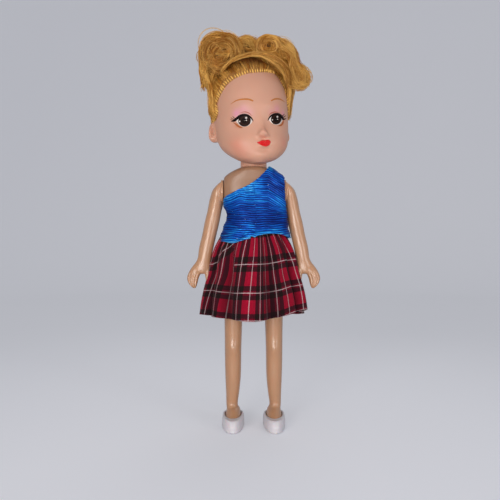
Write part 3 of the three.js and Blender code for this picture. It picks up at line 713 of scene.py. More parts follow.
# Soft painted spots on the face by name: place and reach in pixels of the photograph, and strength
face_spots = {
    "blush": [
        ((237, 146), 9.5, 0.75), ((284.5, 143), 7, 0.7), ((264, 137.5), 4.5, 0.5), ((246, 153), 9, 0.3),
    ],
    "lilac": [
        ((236.5, 113.5), 4.2, 1), ((243.5, 109.5), 5, 0.55), ((250.5, 112.5), 4, 0.35),
        ((283, 113.5), 3.4, 0.8), ((277, 109.3), 4.4, 0.6), ((271, 112), 3, 0.4),
    ],
    "umber": [
        ((237.3, 125), 2.2, 0.9), ((240.3, 127), 1.5, 0.8),
        ((282.3, 123), 1.9, 0.9), ((280.6, 125.2), 1.4, 0.7),
    ],
}
SPOT_SPREAD = 0.61
for name, spots in face_spots.items():
    total = np.zeros(len(head_points))
    for (px, py), reach, amount in spots:
        centre, _ = on_face(px, py)
        distance = np.linalg.norm(head_points - centre, axis=1)
        total += amount * np.exp(-((distance / (reach * SPOT_SPREAD)) ** 2))
    mark(head, name, np.clip(total, 0, 1))


# A closed thin skin between an outer and an inner sheet of points, left open where keep is false
def sheet_mesh(outer, inner, around=False, keep=None):
    rows, columns = outer.shape[:2]
    points = np.concatenate([outer.reshape(-1, 3), inner.reshape(-1, 3)])
    faces = grid_faces(rows, columns, around)
    if keep is not None:
        faces = [face for face in faces if all(keep[i] for i in face)]
    size = rows * columns
    sides = {(a, b) for face in faces for a, b in zip(face, face[1:] + face[:1])}
    rims = [[b, a, a + size, b + size] for a, b in sorted(sides) if (b, a) not in sides]
    faces += [[i + size for i in face[::-1]] for face in faces]
    return points, faces + rims


# Removes points that no face uses
def tidy(made):
    shape = bmesh.new()
    shape.from_mesh(made.data)
    bmesh.ops.delete(shape, geom=[v for v in shape.verts if not v.link_faces], context="VERTS")
    shape.to_mesh(made.data)
    shape.free()


# How deep a painted shape reaches into the skin
PAINT_SINK = 0.12


# A thin painted shape on the face over a grid of pixels of the photograph
def painted(name, pixels, paint, lift, around):
    outer = np.zeros((*pixels.shape[:2], 3))
    inner = np.zeros_like(outer)
    for place in np.ndindex(*pixels.shape[:2]):
        hit, normal = on_face(*pixels[place])
        outer[place] = hit + normal * lift
        inner[place] = hit - normal * PAINT_SINK
    made = mesh_object(name, *sheet_mesh(outer, inner, around), paint)
    made.matrix_world = HEAD
    return made


# A filled shape, from its outline
def decal(name, outline, paint, lift, sides=40, rings=5):
    closed = np.array(outline + outline[:1], float)
    length = travelled(closed)
    at = np.linspace(0, length[-1], sides, endpoint=False)
    edge = np.stack([np.interp(at, length, closed[:, k]) for k in (0, 1)], axis=1)
    for _ in range(2):
        edge = (np.roll(edge, 1, 0) + 2 * edge + np.roll(edge, -1, 0)) / 4
    middle = edge.mean(0)
    share = np.maximum(np.arange(rings + 1) / rings, 0.03)[:, None, None]
    made = painted(name, middle + (edge - middle) * share, paint, lift, True)
    mark(made, "rim", np.tile(np.repeat(np.linspace(0, 1, rings + 1), sides), 2))
    return made


# A line, from its places with its width at each
def stroke(name, places, paint, lift, steps):
    places = np.array(places, float)
    length = travelled(places[:, :2])
    line = between(np.column_stack([length, places]), np.linspace(0, length[-1], steps))
    along = unit(np.gradient(line[:, :2], axis=0))
    side = np.column_stack([-along[:, 1], along[:, 0]])
    width = np.maximum(line[:, 2:], 0.12)[:, None]
    across = np.linspace(-0.5, 0.5, 5)[:, None]
    return painted(name, line[:, None, :2] + side[:, None] * width * across, paint, lift, False)


def iris_paint():
    paint = Paint("eye_paint", Roughness=0.5, Specular_IOR_Level=0.06)
    base = paint.ramp(paint.value("rim"), [
        (0, rgb(10, 5, 6)), (0.42, rgb(14, 8, 8)), (0.6, rgb(44, 26, 20)), (0.85, rgb(34, 20, 16)),
        (1, rgb(10, 6, 6)),
    ])
    paint.set("Base Color", paint.mix(paint.times(paint.noise(1800, 2), 0.2), base, rgb(58, 36, 26)))
    return paint.material


eye_dark = iris_paint()
lash_paint = flat_paint("lash_paint", rgb(16, 9, 10), 0.5, rgb(28, 16, 16), shine=0.06)
white_paint = flat_paint("eye_white_paint", rgb(220, 208, 202), 0.45, rgb(204, 190, 184))
brow_paint = flat_paint("brow_paint", rgb(186, 112, 46), 0.45, rgb(168, 94, 34), 2500)
lip_paint = flat_paint("lip_paint", rgb(214, 34, 34), 0.3, rgb(196, 22, 30), 1500)
crease_paint = flat_paint("crease_paint", rgb(178, 92, 74), 0.5, rgb(160, 80, 60), 2500)
umber_paint = flat_paint("umber_paint", rgb(170, 88, 30), 0.5, rgb(150, 72, 24), 2500)


def oval(px, py, half_width, half_height, count):
    turns = [k / count * 2 * math.pi for k in range(count)]
    return [(px + half_width * math.cos(a), py + half_height * math.sin(a)) for a in turns]


# Shapes on the face in pixels of the photograph: outlines, then ovals by middle and half sizes
eye_whites = {
    "eye_white_right": [
        (235.6, 120.9), (238.3, 117.6), (242, 115.5), (246, 115.3), (249.8, 117), (252.8, 120.8),
        (251, 123.8), (247.4, 126.3), (243.4, 127), (239.6, 125.6),
    ],
    "eye_white_left": [
        (268.6, 119.8), (270.4, 116.6), (273.4, 114.6), (276.8, 114.4), (279.9, 116), (282.6, 119.4),
        (281.8, 122.2), (279, 124.6), (275.6, 125), (271.6, 123.2),
    ],
}
lips = [
    (256.4, 142.6), (259.4, 141.5), (262.2, 139.9), (265, 140.5), (267.9, 139.4), (270.3, 140.6),
    (270.9, 142), (269.6, 145), (266.4, 146.7), (262.4, 146), (259.2, 143.9),
]
irises = {"iris_right": (244.5, 120.7, 6.35, 6), "iris_left": (276, 119.3, 5.3, 5.3)}
glints = {
    "glint_right": (246.2, 117.8, 1.15, 1.15),
    "glint_right_low": (246.4, 120.3, 0.7, 0.6),
    "glint_right_side": (239.7, 121.4, 0.75, 0.9),
    "glint_left": (277.3, 116.8, 0.95, 1),
    "glint_left_low": (277.5, 119.2, 0.55, 0.55),
    "glint_left_side": (272.3, 119.9, 0.6, 0.8),
}
# Lines on the face: pixels of the photograph, with the width at each
lids = {
    "lid_right": [
        (231.2, 121.4, 0.5), (234.4, 120.6, 2.2), (237.4, 118, 2.6), (240.6, 115.6, 2.3), (244.6, 114.7, 1.9),
        (248.4, 115.6, 1.6), (251.4, 118.2, 1.3), (253.4, 121.4, 0.5),
    ],
    "lid_left": [
        (267.7, 120.6, 0.5), (269.6, 117.4, 1.3), (272.2, 115, 1.6), (275.6, 113.9, 1.9), (279, 114.6, 2.3),
        (281.6, 116.9, 2.4), (283.4, 119.2, 1.9), (286.2, 118.4, 0.4),
    ],
}
lashes = {
    "lash_right_a": [(236.6, 119, 0.9), (234.2, 117.9, 0.6), (232.6, 116.2, 0.2)],
    "lash_right_b": [(235.2, 119.8, 0.9), (232.8, 119, 0.6), (231, 117.5, 0.2)],
    "lash_right_c": [(234.2, 120.6, 0.9), (232, 120.1, 0.6), (230.2, 119, 0.2)],
    "lash_left_a": [(281, 116.4, 0.8), (283, 115.4, 0.6), (284.4, 113.9, 0.2)],
    "lash_left_b": [(282.2, 117.6, 0.8), (284.2, 116.8, 0.6), (285.6, 115.4, 0.2)],
}
creases = {
    "crease_right": [(240, 113, 0.2), (244.6, 111.9, 0.8), (248.9, 113.1, 0.9), (252.1, 116, 0.2)],
    "crease_left": [(268.4, 116.3, 0.2), (270.8, 113.4, 0.9), (275, 112, 0.9), (279.8, 112.9, 0.2)],
}
eye_shades = {
    "shade_right": [(233.2, 122.4, 0.4), (236, 124.3, 1.5), (239, 126.7, 1.5), (243, 128, 0.3)],
    "shade_left": [(283.6, 120.2, 0.4), (282.9, 123, 1.3), (280.7, 125.4, 1.4), (277.4, 126, 0.3)],
}
brows = {
    "brow_right": [
        (230.6, 104.2, 0.3), (236.5, 100.5, 1.1), (243.8, 99.2, 1.6), (249.8, 99.6, 1.7), (253.3, 101.1, 1.2),
    ],
    "brow_left": [(271, 100.8, 1.3), (275, 99, 1.6), (279.5, 99.1, 1.3), (285.4, 102.4, 0.3)],
}
face = [decal(name, outline, white_paint, 0.05) for name, outline in eye_whites.items()]
face += [decal(name, oval(*place, 24), eye_dark, 0.09) for name, place in irises.items()]
face += [decal(name, oval(*place, 12), white_paint, 0.13, 16, 2) for name, place in glints.items()]
for lines, paint, lift, steps in (
    (lids, lash_paint, 0.15, 36), (lashes, lash_paint, 0.15, 10), (creases, crease_paint, 0.05, 36),
    (eye_shades, umber_paint, 0.04, 36), (brows, brow_paint, 0.06, 36),
):
    face += [stroke(name, places, paint, lift, steps) for name, places in lines.items()]
face.append(decal("lips", lips, lip_paint, 0.06, 48, 6))
for piece in face:
    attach(piece, "head")
stand_in(head, "head", "head_shell")

# The hair's random numbers, drawn in the order in which its locks are made
draw = np.random.default_rng(11)

# Hair: the buns' middles and reaches, in the head's frame
BUN_RADIUS = 14.4
bun_right = np.array([-1.22, 0.2, 0.26]) * BUN_RADIUS + (0, 0, CROWN)
bun_left = np.array([1.09, -0.22, -0.02]) * BUN_RADIUS + (0, 0, CROWN)
right_reach = np.array([1, 0.85, 0.98]) * BUN_RADIUS
left_reach = np.array([1.1, 0.88, 1.02]) * BUN_RADIUS
skull_middle = np.array([0, 2, 34])
PARTING = 1.5
TIE_LIFT = 4.2
FAR = 70

# Strands: points along each, half thicknesses, and how many leave one plug
STEPS = 22
STRAND = 0.18
BACK_STRAND = 0.17
LOOSE_STRAND = 0.075
TUFT = 0.4
PLUG_STRANDS = 14

# The distances between plugs along the hairline and the back parting, and how far the sides' rows overlap
PLUG_GAP = 1.6
PARTING_GAP = 1.3
OVERLAP = 0.8

# Plugs whose locks run back over the crown: in front of this depth, and this near to the brow's middle
BROW_BACK = -4
BROW_MIDDLE = 0.5
BROW_HALF = 13

# The hair ties' middles, with the directions out of the head there
skull_points, skull_faces = skin(head_rings(48, 72))
skull_tree = BVHTree.FromPolygons([tuple(p) for p in skull_points], skull_faces)
ties = []
for bun in (bun_right, bun_left):
    towards = Vector(bun - np.array([0, 0, CROWN / 2])).normalized()
    hit = skull_tree.ray_cast(Vector((0, 0, CROWN / 2)) + towards * FAR, -towards)[0]
    ties.append((np.array(hit) + np.array(towards) * TIE_LIFT, np.array(towards)))


# The skull's own surface, where a line out of its middle leaves it
def on_skull(places, lift):
    out = np.zeros_like(places)
    middle = Vector(skull_middle)
    for i, place in enumerate(places):
        towards = (Vector(place) - middle).normalized()
        hit = skull_tree.ray_cast(middle + towards * FAR, -towards)[0]
        out[i] = np.array(hit) + np.array(towards) * lift[i]
    return out


# The place in the head's frame that a pixel of the photograph shows at a depth behind the doll's middle
def spot(px, py, depth):
    reach = depth - CAMERA.y
    across, up = slopes(px, py)
    return np.array(INTO_HEAD @ Vector((CAMERA.x + across * reach, depth, CAMERA.z + up * reach)))


# The skull's place under a pixel, or its nearest one where the line of sight passes by
def on_scalp(px, py):
    start, towards = sight(px, py)
    hit = skull_tree.ray_cast(start, towards)[0]
    if hit is None:
        passed = [skull_tree.find_nearest(start + towards * (-CAMERA.y + k)) for k in range(-30, 31)]
        hit = min(passed, key=lambda found: found[3])[0]
    return tuple(hit)


# The hairline: over the face in pixels of the photograph, then round the ears and the nape
brow_line = [
    (217.1, 104.8), (222.6, 91.5), (226.2, 86.1), (232.3, 80.6), (239.5, 76.4), (246.2, 73.9), (255.3, 72.7),
    (265.6, 72.4), (272.9, 73.3), (277.7, 77), (282, 80.6), (285.6, 86.7), (288, 93.9),
]
brow_places = [on_scalp(px, py) for px, py in brow_line]
left_side = [
    (22.6, -8.5, 36), (23.4, -6, 30), (23.8, -1.5, 27), (23.9, 5, 28.4), (23.4, 10, 22), (21.6, 14, 15),
    (17, 19, 9), (9, 22.5, 6.5),
]
right_side = [(-x, y, z) for x, y, z in left_side][::-1]
loop = brow_places + left_side + [(0, 23.6, 6)] + right_side[:-1]


# Places a set gap apart on a smooth closed line
def closed_line(places, gap):
    closed = np.array(list(places) + [places[0]], float)
    length = travelled(closed)
    count = int(length[-1] / gap)
    return between(np.column_stack([length, closed]), np.linspace(0, length[-1], count, endpoint=False))


roots = closed_line(loop, PLUG_GAP)
# Each side's plugs along the back parting, which reach just past it
nape_rows = [[(PARTING + over, 20, z) for z in np.arange(7, 58, PARTING_GAP)] for over in (OVERLAP, -OVERLAP)]


# Where the front of the crown lies in the shade of the hair above it
def shaded(place):
    across = (place[..., 0] - 1) / 15
    back = (place[..., 1] + 7) / 10
    up = (place[..., 2] - CROWN + 3.5) / 6.5
    return np.minimum(1, 1.3 * np.exp(-(across**2) - back**2 - up**2))


# The place behind the crown that a lock from the brow runs to
def behind_crown(root):
    return np.array([root[0] * 0.62, 14, 58])


# Locks from the plugs of one side: over the crown from the brow, and to the side's tie from elsewhere
def combed_locks(side):
    paths = []
    shades = []
    s = np.linspace(0, 1, STEPS)
    bow = np.sin(s * math.pi)
    tie, towards = ties[side]
    inner = on_skull(np.array(nape_rows[side]), np.zeros(len(nape_rows[side])))
    for root in np.concatenate([roots[(roots[:, 0] >= PARTING) == bool(side)], inner]):
        plug_shade = draw.random()
        over = root[1] < BROW_BACK and abs(root[0] - BROW_MIDDLE) + draw.normal(0, 1.5) < BROW_HALF
        for _ in range(PLUG_STRANDS):
            spread = draw.normal(0, 0.5, 3)
            begin = root + spread * 0.5
            finish = tie - towards * 2.6 + draw.normal(0, 1.3, 3)
            if over:
                finish = behind_crown(root) + draw.normal(0, 1.2, 3)
            line = begin * (1 - s)[:, None] + finish * s[:, None] + bow[:, None] * spread * 2.2
            if not over:
                line[:, 1] += 8 * bow
            high = 0.9 + 1.5 * draw.random() + 1.6 * min(1, abs(root[0]) / 22) * draw.random()
            wave = 0.22 * np.sin(s * draw.uniform(6, 11) + draw.uniform(0, 6))
            path = on_skull(line, -0.5 + (high + 0.5) * np.minimum(1, s * 5) + wave * s)
            if not over:
                pull = np.clip((s - 0.82) / 0.18, 0, 1)[:, None] ** 1.5
                path = path * (1 - pull) + (tie + (finish - tie) * 0.75 + towards * 2) * pull
            paths.append(path)
            shades.append(np.clip(0.6 * plug_shade + 0.4 * draw.random(), 0, 1))
    return np.array(paths), np.array(shades)


# A lock of strands along one curve, a little narrower at its ends, which may fray towards its tip
def lock(places, count, spread, fray, wobble, tone):
    places = np.array(places, float)
    length = travelled(places)
    s = np.linspace(0, 1, STEPS)
    base = between(np.column_stack([length, places]), s * length[-1])
    narrow = 1 - 0.2 * (2 * s - 1) ** 2
    paths = []
    for _ in range(count):
        path = base + draw.normal(0, spread, 3) * narrow[:, None]
        path += draw.normal(0, fray, 3) * (s**2)[:, None]
        for k in range(3):
            rate, start = draw.uniform(4, 13), draw.uniform(0, 6)
            path[:, k] += wobble * np.sin(s * rate + start) * (0.3 + 0.7 * s)
        paths.append(path)
    return np.array(paths), draw.uniform(*tone, count)


# Lines that loose locks follow, by name: pixels of the photograph, with the depth at each
lock_lines = {
    "crown_high": [
        (221, 73, -9), (228, 63, -13), (237, 57.5, -12), (248, 54.3, -10), (261, 52.6, -11),
        (272, 56, -13), (281, 63, -12), (287.5, 73, -8), (290, 84, -6),
    ],
    "crown_low": [
        (250, 56, -11), (259, 56.5, -12), (268, 59.5, -13), (276, 65, -12.5), (282, 72, -11),
        (286, 82, -8),
    ],
    "left_temple_outer": [
        (287, 62, 4), (291, 74, 3), (291, 88, 2.5), (289.5, 102, 2), (288.5, 116, 1.5),
    ],
    "left_temple_inner": [(283, 58, 0), (287, 66, 0), (288.5, 76, 0), (289, 87, 0), (289, 98, 1)],
    "right_side_long": [
        (205, 56, 0), (204, 68, -3), (208, 80, -3), (211.5, 92, -4), (213, 104, -5), (215, 116, -5),
    ],
    "right_side_short": [(203, 62, 0), (202.5, 72, -2), (204, 80, -3), (205.5, 87, -4)],
    "right_temple": [(214, 72, -4), (212, 82, -6), (212.5, 94, -6), (214, 106, -6), (216, 118, -6)],
    "middle_curl": [(232, 50, 1), (239, 43, 0), (248, 41, 0), (256, 45, 0), (260, 52, 0)],
    "tail_outer": [
        (276, 41, -3), (287, 46, -3), (293.5, 56, -3), (297.5, 66, -3), (303.5, 72.5, -2),
        (305, 81, -2),
    ],
    "tail_inner": [(280, 46, -6), (290, 56, -6), (293, 68, -5), (297, 77, -4), (300, 86, -3)],
    "tail_tip": [(300, 68, -2), (306.5, 75, -2), (303, 85, -2), (296, 84, -2), (293.5, 76, -2)],
}


# Some locks, of as many strands each, that follow one of these lines and stray from it by a reach
def fluff(name, reach, count, each, spread, fray, wobble, tone):
    made = []
    for _ in range(count):
        shift = draw.normal(0, 0.6, 3) * reach
        strayed = [np.array(place) + shift + draw.normal(0, 0.5, 3) * reach for place in lock_lines[name]]
        line = [spot(*place) for place in strayed]
        low = draw.uniform(*tone)
        made.append(lock(line, each, spread, fray, wobble, (low * 0.8, min(1, low + 0.25))))
    return np.concatenate([m[0] for m in made]), np.concatenate([m[1] for m in made])


# Loops of hair over an ellipsoid: locks lean from its axis by a tilt in degrees and turn round it by radians,
# and a slit in degrees stays open in the middle
def coil(centre, axis, reach, count, tilt, turn, each=7, wobble=0.08, spread=0.5, slit=0):
    axis = unit(np.array(axis, float))
    first, second = square_to(axis, (0, -0.1, -1))
    paths = []
    shades = []
    s = np.linspace(-1, 1, STEPS)
    for _ in range(count):
        angle = draw.uniform(0, 2 * math.pi) + np.linspace(0, draw.uniform(*turn), STEPS)
        lean_from = draw.uniform(*tilt)
        lean = np.linspace(lean_from, lean_from + draw.normal(0, 14), STEPS)
        least = 4 + slit * (1 + 0.5 * np.cos(2 * angle - 1.2))
        lean = np.radians(np.maximum(lean, least))
        level = draw.uniform(0, 1)
        bulge = 0.88 + 0.15 * level + wobble * np.sin(angle * draw.uniform(1, 2.4) + draw.uniform(0, 6))
        dip = 1 - 0.2 * np.abs(s) ** 5
        # A random tone, darker for locks lying further in and lighter for outer ones: painted shade and
        # painted highlight
        lock_tone_and_depth_shade = np.clip(0.75 * draw.random() + 0.45 * (level - 0.35), 0, 1)
        round_in = np.cos(angle)[:, None] * first + np.sin(angle)[:, None] * second
        place = np.cos(lean)[:, None] * axis + np.sin(lean)[:, None] * round_in
        place = place * (bulge * dip)[:, None] * np.array(reach)
        for _ in range(each):
            shift = draw.normal(0, spread, 3)
            wave = 0.18 * np.sin(s[:, None] * draw.uniform(4, 9, 3) + draw.uniform(0, 6, 3))
            paths.append(centre + place + shift * (1 - 0.55 * s**2)[:, None] + wave)
            shades.append(np.clip(0.7 * lock_tone_and_depth_shade + 0.3 * draw.random(), 0, 1))
    return np.array(paths), np.array(shades)


# Single loose hairs that stand off from a bun
def flyaway(centre, reach, count):
    paths = []
    s = np.linspace(0, 1, STEPS)
    for _ in range(count):
        begin = unit(draw.normal(0, 1, 3) * (1, 0.5, 1))
        begin[2] = abs(begin[2]) - 0.2
        along = unit(np.cross(begin, (draw.normal(0, 0.4), 1, draw.normal(0, 0.4))))
        arc = draw.uniform(0.5, 1.5)
        off = 0.98 + draw.uniform(0.02, 0.2) * np.sin(s * math.pi * draw.uniform(0.6, 1))
        place = np.cos(s * arc)[:, None] * begin + np.sin(s * arc)[:, None] * along
        wave = 0.5 * np.sin(s[:, None] * draw.uniform(3, 8, 3) + draw.uniform(0, 6, 3))
        paths.append(centre + place * off[:, None] * reach + wave)
    return np.array(paths), draw.uniform(0.6, 1, count)


# How thick a strand is along its length: a loose one, one that is combed back from its plug, and a tuft
loose_profile = ((0, 0.45), (0.1, 1), (0.8, 0.9), (1, 0.3))
combed_profile = ((0, 1.5), (0.05, 1.4), (0.16, 1), (1, 0.9))
tuft_profile = ((0, 0.7), (0.3, 1), (0.7, 0.6), (1, 0.2))


# One piece of hair from groups of locks
def hair_piece(name, groups, middle, thick=STRAND, profile=loose_profile, sides=3, shade=0):
    own_draw = np.random.default_rng(len(name))
    paths = np.concatenate([g[0] for g in groups])
    shades = np.concatenate([g[1] for g in groups])
    at, size = np.array(profile).T
    radii = thick * np.interp(np.linspace(0, 1, STEPS), at, size)
    radii = radii[None] * own_draw.uniform(0.7, 1.3, (len(paths), 1))
    made = strands(name, paths, radii, hair, paths - middle, sides, shades)
    # The front of the crown is painted darker where the hair above shades it: painted shade
    mark(made, "painted_hollow_shade", shaded(points_of(made)) * shade)
    in_hair(made)
    return made


# The inside of a bun, painted dark as painted shade
def bun_core(name, centre, reach):
    made = mesh_object(name, *ball(reach, centre, 64), cap_hair)
    place = points_of(made) - centre
    mark(made, "across", np.arctan2(place[:, 2], place[:, 0]) * 3)
    mark(made, "along", place[:, 1] / 20)
    mark(made, "painted_hollow_shade", np.full(len(place), 0.75))
    in_hair(made)


combed = [combed_locks(side) for side in (0, 1)]
combed_right = hair_piece("hair_combed_right", combed[:1], skull_middle, profile=combed_profile, shade=1)
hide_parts("hair_scalp")
hair_piece("hair_combed_left", combed[1:], skull_middle, profile=combed_profile, shade=1)

# Short thick tufts where each plug leaves the scalp
tufts = []
s = np.linspace(0, 1, STEPS)
for root in roots:
    over = root[1] < BROW_BACK and abs(root[0] - BROW_MIDDLE) < BROW_HALF
    aim = behind_crown(root) if over else ties[0 if root[0] < PARTING else 1][0]
    line = root + (aim - root) * (0.09 * s)[:, None]
    if not over:
        line[:, 1] += 2.2 * s
    for _ in range(2):
        shift = draw.normal(0, 0.12, 3)
        tufts.append(on_skull(line + shift, -0.4 + 1.4 * np.sin(s * 2.2) ** 0.8))
# Light tones on the tufts: a painted highlight where the plugs glint
tuft_shades = draw.uniform(0.8, 1, len(tufts))
hair_piece("hair_plugs", [(np.array(tufts), tuft_shades)], skull_middle, TUFT, tuft_profile, 6, 0.3)

hair_piece("hair_crown_locks", [
    fluff("crown_high", (0.8, 0.8, 0.9), 7, 6, 0.4, 0.9, 0.4, (0.3, 1)),
    fluff("crown_low", (0.8, 0.6, 0.6), 4, 6, 0.3, 0.5, 0.35, (0.4, 1)),
    fluff("left_temple_outer", (1, 2.5, 2), 9, 22, 0.6, 0.3, 0.3, (0.2, 1)),
    fluff("left_temple_inner", (1.2, 2, 2), 12, 22, 0.6, 0.3, 0.35, (0.1, 0.9)),
], skull_middle)
hair_piece("hair_side_locks", [
    fluff("right_side_long", (1.5, 2.5, 3), 18, 26, 0.6, 0.3, 0.35, (0.1, 1)),
    fluff("right_side_short", (1.5, 2.5, 3), 9, 16, 0.7, 1.4, 0.6, (0.2, 1)),
    fluff("right_temple", (1.6, 2, 1.5), 10, 26, 0.6, 0.2, 0.3, (0.2, 1)),
], skull_middle)
middle = spot(247, 48, 5)
hair_piece("hair_middle_curl", [
    coil(middle, (0.1, -1, 0.2), np.array([7.6, 6, 7.2]), 70, (14, 120), (1.6, 4.4), 7, 0.1, slit=8),
    coil(middle, (0, 1, 0.2), np.array([7.2, 6, 7]), 50, (4, 80), (1.6, 4.4), 7, 0.1, slit=4),
    fluff("middle_curl", (1.4, 2.2, 2.5), 14, 12, 0.8, 0.9, 0.6, (0.1, 0.9)),
], middle)
bun_core("hair_middle_core", middle, np.array([5.6, 4.4, 5.4]))

bun_piece = hair_piece("hair_bun_right_locks", [
    coil(bun_right, (-0.16, -1, -0.26), right_reach * 0.94, 170, (10, 104), (1.6, 4.6), slit=15),
], bun_right)
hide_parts("hair_bun_right")
hair_piece("hair_bun_right_back", [
    coil(bun_right, (0.2, 1, 0.1), right_reach * 0.92, 110, (12, 92), (1.6, 4.4), slit=14),
    coil(bun_right, (0, 0, 1), right_reach * 0.9, 36, (96, 140), (1.2, 3)),
    coil(bun_right, (-0.16, -1, -0.26), right_reach, 26, (36, 100), (1, 2.4), 3, 0.12, 0.9),
], bun_right, BACK_STRAND)
bun_core("hair_bun_right_core", bun_right, right_reach * 0.74)

# The left bun's locks lie a little outside its middle, with a small curl in front of them
loose_bun = bun_left + (1.5, 2, 1)
curl = spot(268.6, 46, -6)
curl_reach = np.array([7.6, 5.6, 6.6])
bun_piece = hair_piece("hair_bun_left_locks", [
    coil(loose_bun, (0.7, -0.8, 0.1), left_reach * 0.84, 100, (20, 110), (1.4, 4), slit=10),
    coil(curl, (-0.15, -1, -0.3), curl_reach, 80, (14, 100), (2, 4.6), spread=0.4, slit=11),
], bun_left)
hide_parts("hair_bun_left")
hair_piece("hair_bun_left_tail", [
    fluff("tail_outer", (2.2, 2.2, 3), 22, 22, 0.6, 1, 0.55, (0.1, 1)),
    fluff("tail_inner", (2.2, 2.2, 2), 14, 22, 0.6, 1, 0.6, (0.1, 1)),
    fluff("tail_tip", (2, 2, 2.6), 12, 16, 0.9, 1.7, 0.7, (0.3, 1)),
], bun_left, BACK_STRAND)
hair_piece("hair_bun_left_back", [
    coil(loose_bun, (0.2, 1, 0.1), left_reach * 0.86, 100, (12, 95), (1.6, 4.4), slit=14),
    coil(loose_bun, (0.1, -0.2, 1), left_reach * 0.84, 60, (40, 130), (1.2, 3.4)),
], bun_left, BACK_STRAND)
bun_core("hair_bun_left_core", loose_bun, left_reach * 0.7)
bun_core("hair_bun_left_curl_core", curl, np.array([6.2, 3.6, 5.6]))
hair_piece("hair_loose_strands", [
    flyaway(bun_right, right_reach, 230),
    flyaway(loose_bun, left_reach * 0.92, 200),
    flyaway(middle, np.array([8.5, 7, 8]), 60),
], skull_middle, LOOSE_STRAND)


# The surface between the locks and the skull
def scalp_cap():
    rim = unit(closed_line(loop, 0.6) - skull_middle)
    pole = unit(np.array([0, 0.45, 0.89]))
    first, second = square_to(pole, (1, 0, 0))
    rim_turn = np.arctan2(rim @ second, rim @ first)
    rim_lean = np.arccos(np.clip(rim @ pole, -1, 1))
    order = np.argsort(rim_turn)
    steps, sides = 56, 168
    turn = np.linspace(-math.pi, math.pi, sides, endpoint=False)
    limit = np.interp(turn, rim_turn[order], rim_lean[order], period=2 * math.pi)
    outer = np.zeros((steps, sides, 3))
    inner = np.zeros_like(outer)
    round_in = np.cos(turn)[:, None] * first + np.sin(turn)[:, None] * second
    for r in range(steps):
        share = 0.01 + 0.99 * r / (steps - 1)
        lean = (limit * share)[:, None]
        towards = np.cos(lean) * pole + np.sin(lean) * round_in
        thick = 0.35 + 0.9 * min(1, (1 - share) * 9)
        outer[r] = on_skull(skull_middle + towards * 20, np.full(sides, thick))
        inner[r] = on_skull(skull_middle + towards * 20, np.full(sides, -0.3))
    made = mesh_object("hair_cap", *sheet_mesh(outer, inner, around=True), cap_hair)
    place = points_of(made)
    across = np.zeros(len(place))
    near = np.zeros(len(place))
    for side, (tie, towards) in enumerate(ties):
        offset = place - tie
        one, two = square_to(towards, (0, 1, 0))
        spin = np.arctan2(offset @ two, offset @ one)
        chosen = (place[:, 0] >= PARTING) == bool(side)
        across[chosen] = spin[chosen] * 3 + side * 20
        near[chosen] = np.linalg.norm(offset[chosen], axis=1) / 40
    mark(made, "across", across)
    mark(made, "along", near)
    # Painted shade over the front of the crown
    mark(made, "painted_hollow_shade", shaded(place))
    in_hair(made)


scalp_cap()


# Torso outlines at heights
def torso_rows(heights):
    heights = np.asarray(heights, float)
    width, front, back, square = between(torso_shares, (heights - CROTCH) / (SEAM - CROTCH)).T
    none = np.zeros_like(heights)
    power = 2.2 + 0.8 * np.clip(square, 0, 1)
    return np.column_stack([heights, none, none, HALF_SHOULDER * width, CHEST * front, BACK * back, power])


# The torso's two shells, with room for each leg: below the hip's axis, and in front where the leg swings
def torso_pieces():
    rings = outlines(torso_rows(np.linspace(CROTCH, SEAM, 90)), 96)
    rings[:, :, 0] = np.clip(rings[:, :, 0], -HALF_SHOULDER, HALF_SHOULDER)
    far = 60
    under = HIP - 20
    over = HIP + 1.5
    room = HIP_RADIUS + SEAT_GAP
    recess = []
    for side in (-1, 1):
        low, high = sorted((side * (LEG_INNER - SEAT_GAP), side * far))
        recess.append(bar(room, low, high, 64, HIP))
        recess.append(box((low, -far, under), (high, far, over)))
        recess.append(box((low, -far, under), (high, 0, HIP + room)))
    whole = cut(mesh_object("torso_whole", *skin(rings), torso_plastic_shaded), recess)
    for name, side in (("torso_front", -1), ("torso_back", 1)):
        half = bpy.data.objects.new(name + "_shell", whole.data.copy())
        bpy.context.scene.collection.objects.link(half)
        keep_side(half, (0, side * SHELL_GAP, 0), (0, side, 0))
        stand_in(half, "torso", name)
    bpy.data.objects.remove(whole)


torso_pieces()

# An arm's inner and outer side from the doll's middle, its half depth and how far forward it is, by the
# height below the shoulder's axis
arm_table = [
    [-7.45, 19.4, 20, 1, 0], [-5, 19.4, 22.9, 5.4, 0], [-2.5, 19.4, 25.4, 6.8, 0], [0, 19.4, 27, 7.2, 0],
    [3.1, 19.4, 28, 7, 0], [6.6, 19.5, 28.9, 6.3, 0], [13.1, 20.9, 30.1, 5.3, 0], [19.4, 22.1, 31.7, 4.9, 0],
    [28.1, 24.1, 33.4, 4.7, -0.4], [36.3, 26, 35.3, 4.4, -0.8], [43, 27.3, 36.2, 3.8, -1.2],
    [46.5, 27.4, 37.9, 3.4, -1.4], [50, 27.4, 40, 3.2, -1.6], [52, 28, 40.2, 2.9, -1.7],
    [53, 30, 38.4, 2, -1.8], [53.4, 32.4, 36, 0.8, -1.9],
]
finger_table = [
    [47, 30.5, 38.4, 2.4, -1.5], [50, 32.6, 40.6, 3.1, -1.7], [53, 34.2, 42.2, 3.2, -2],
    [56, 35.4, 42.9, 3, -2.5], [59, 36.1, 42.1, 2.6, -3], [61, 36.7, 40.6, 2.1, -3.3],
    [62.2, 37.3, 39.2, 1.2, -3.4], [62.5, 37.8, 38.6, 0.6, -3.4],
]
thumb_table = [
    [47, 27.6, 31.6, 2, -1.4], [50, 27.5, 31.9, 2.1, -1.9], [53, 27.8, 31.5, 1.9, -2.4],
    [56, 28.4, 31, 1.7, -2.9], [58.4, 28.9, 30.6, 1.3, -3.2], [59.4, 29.4, 30.2, 0.6, -3.3],
]
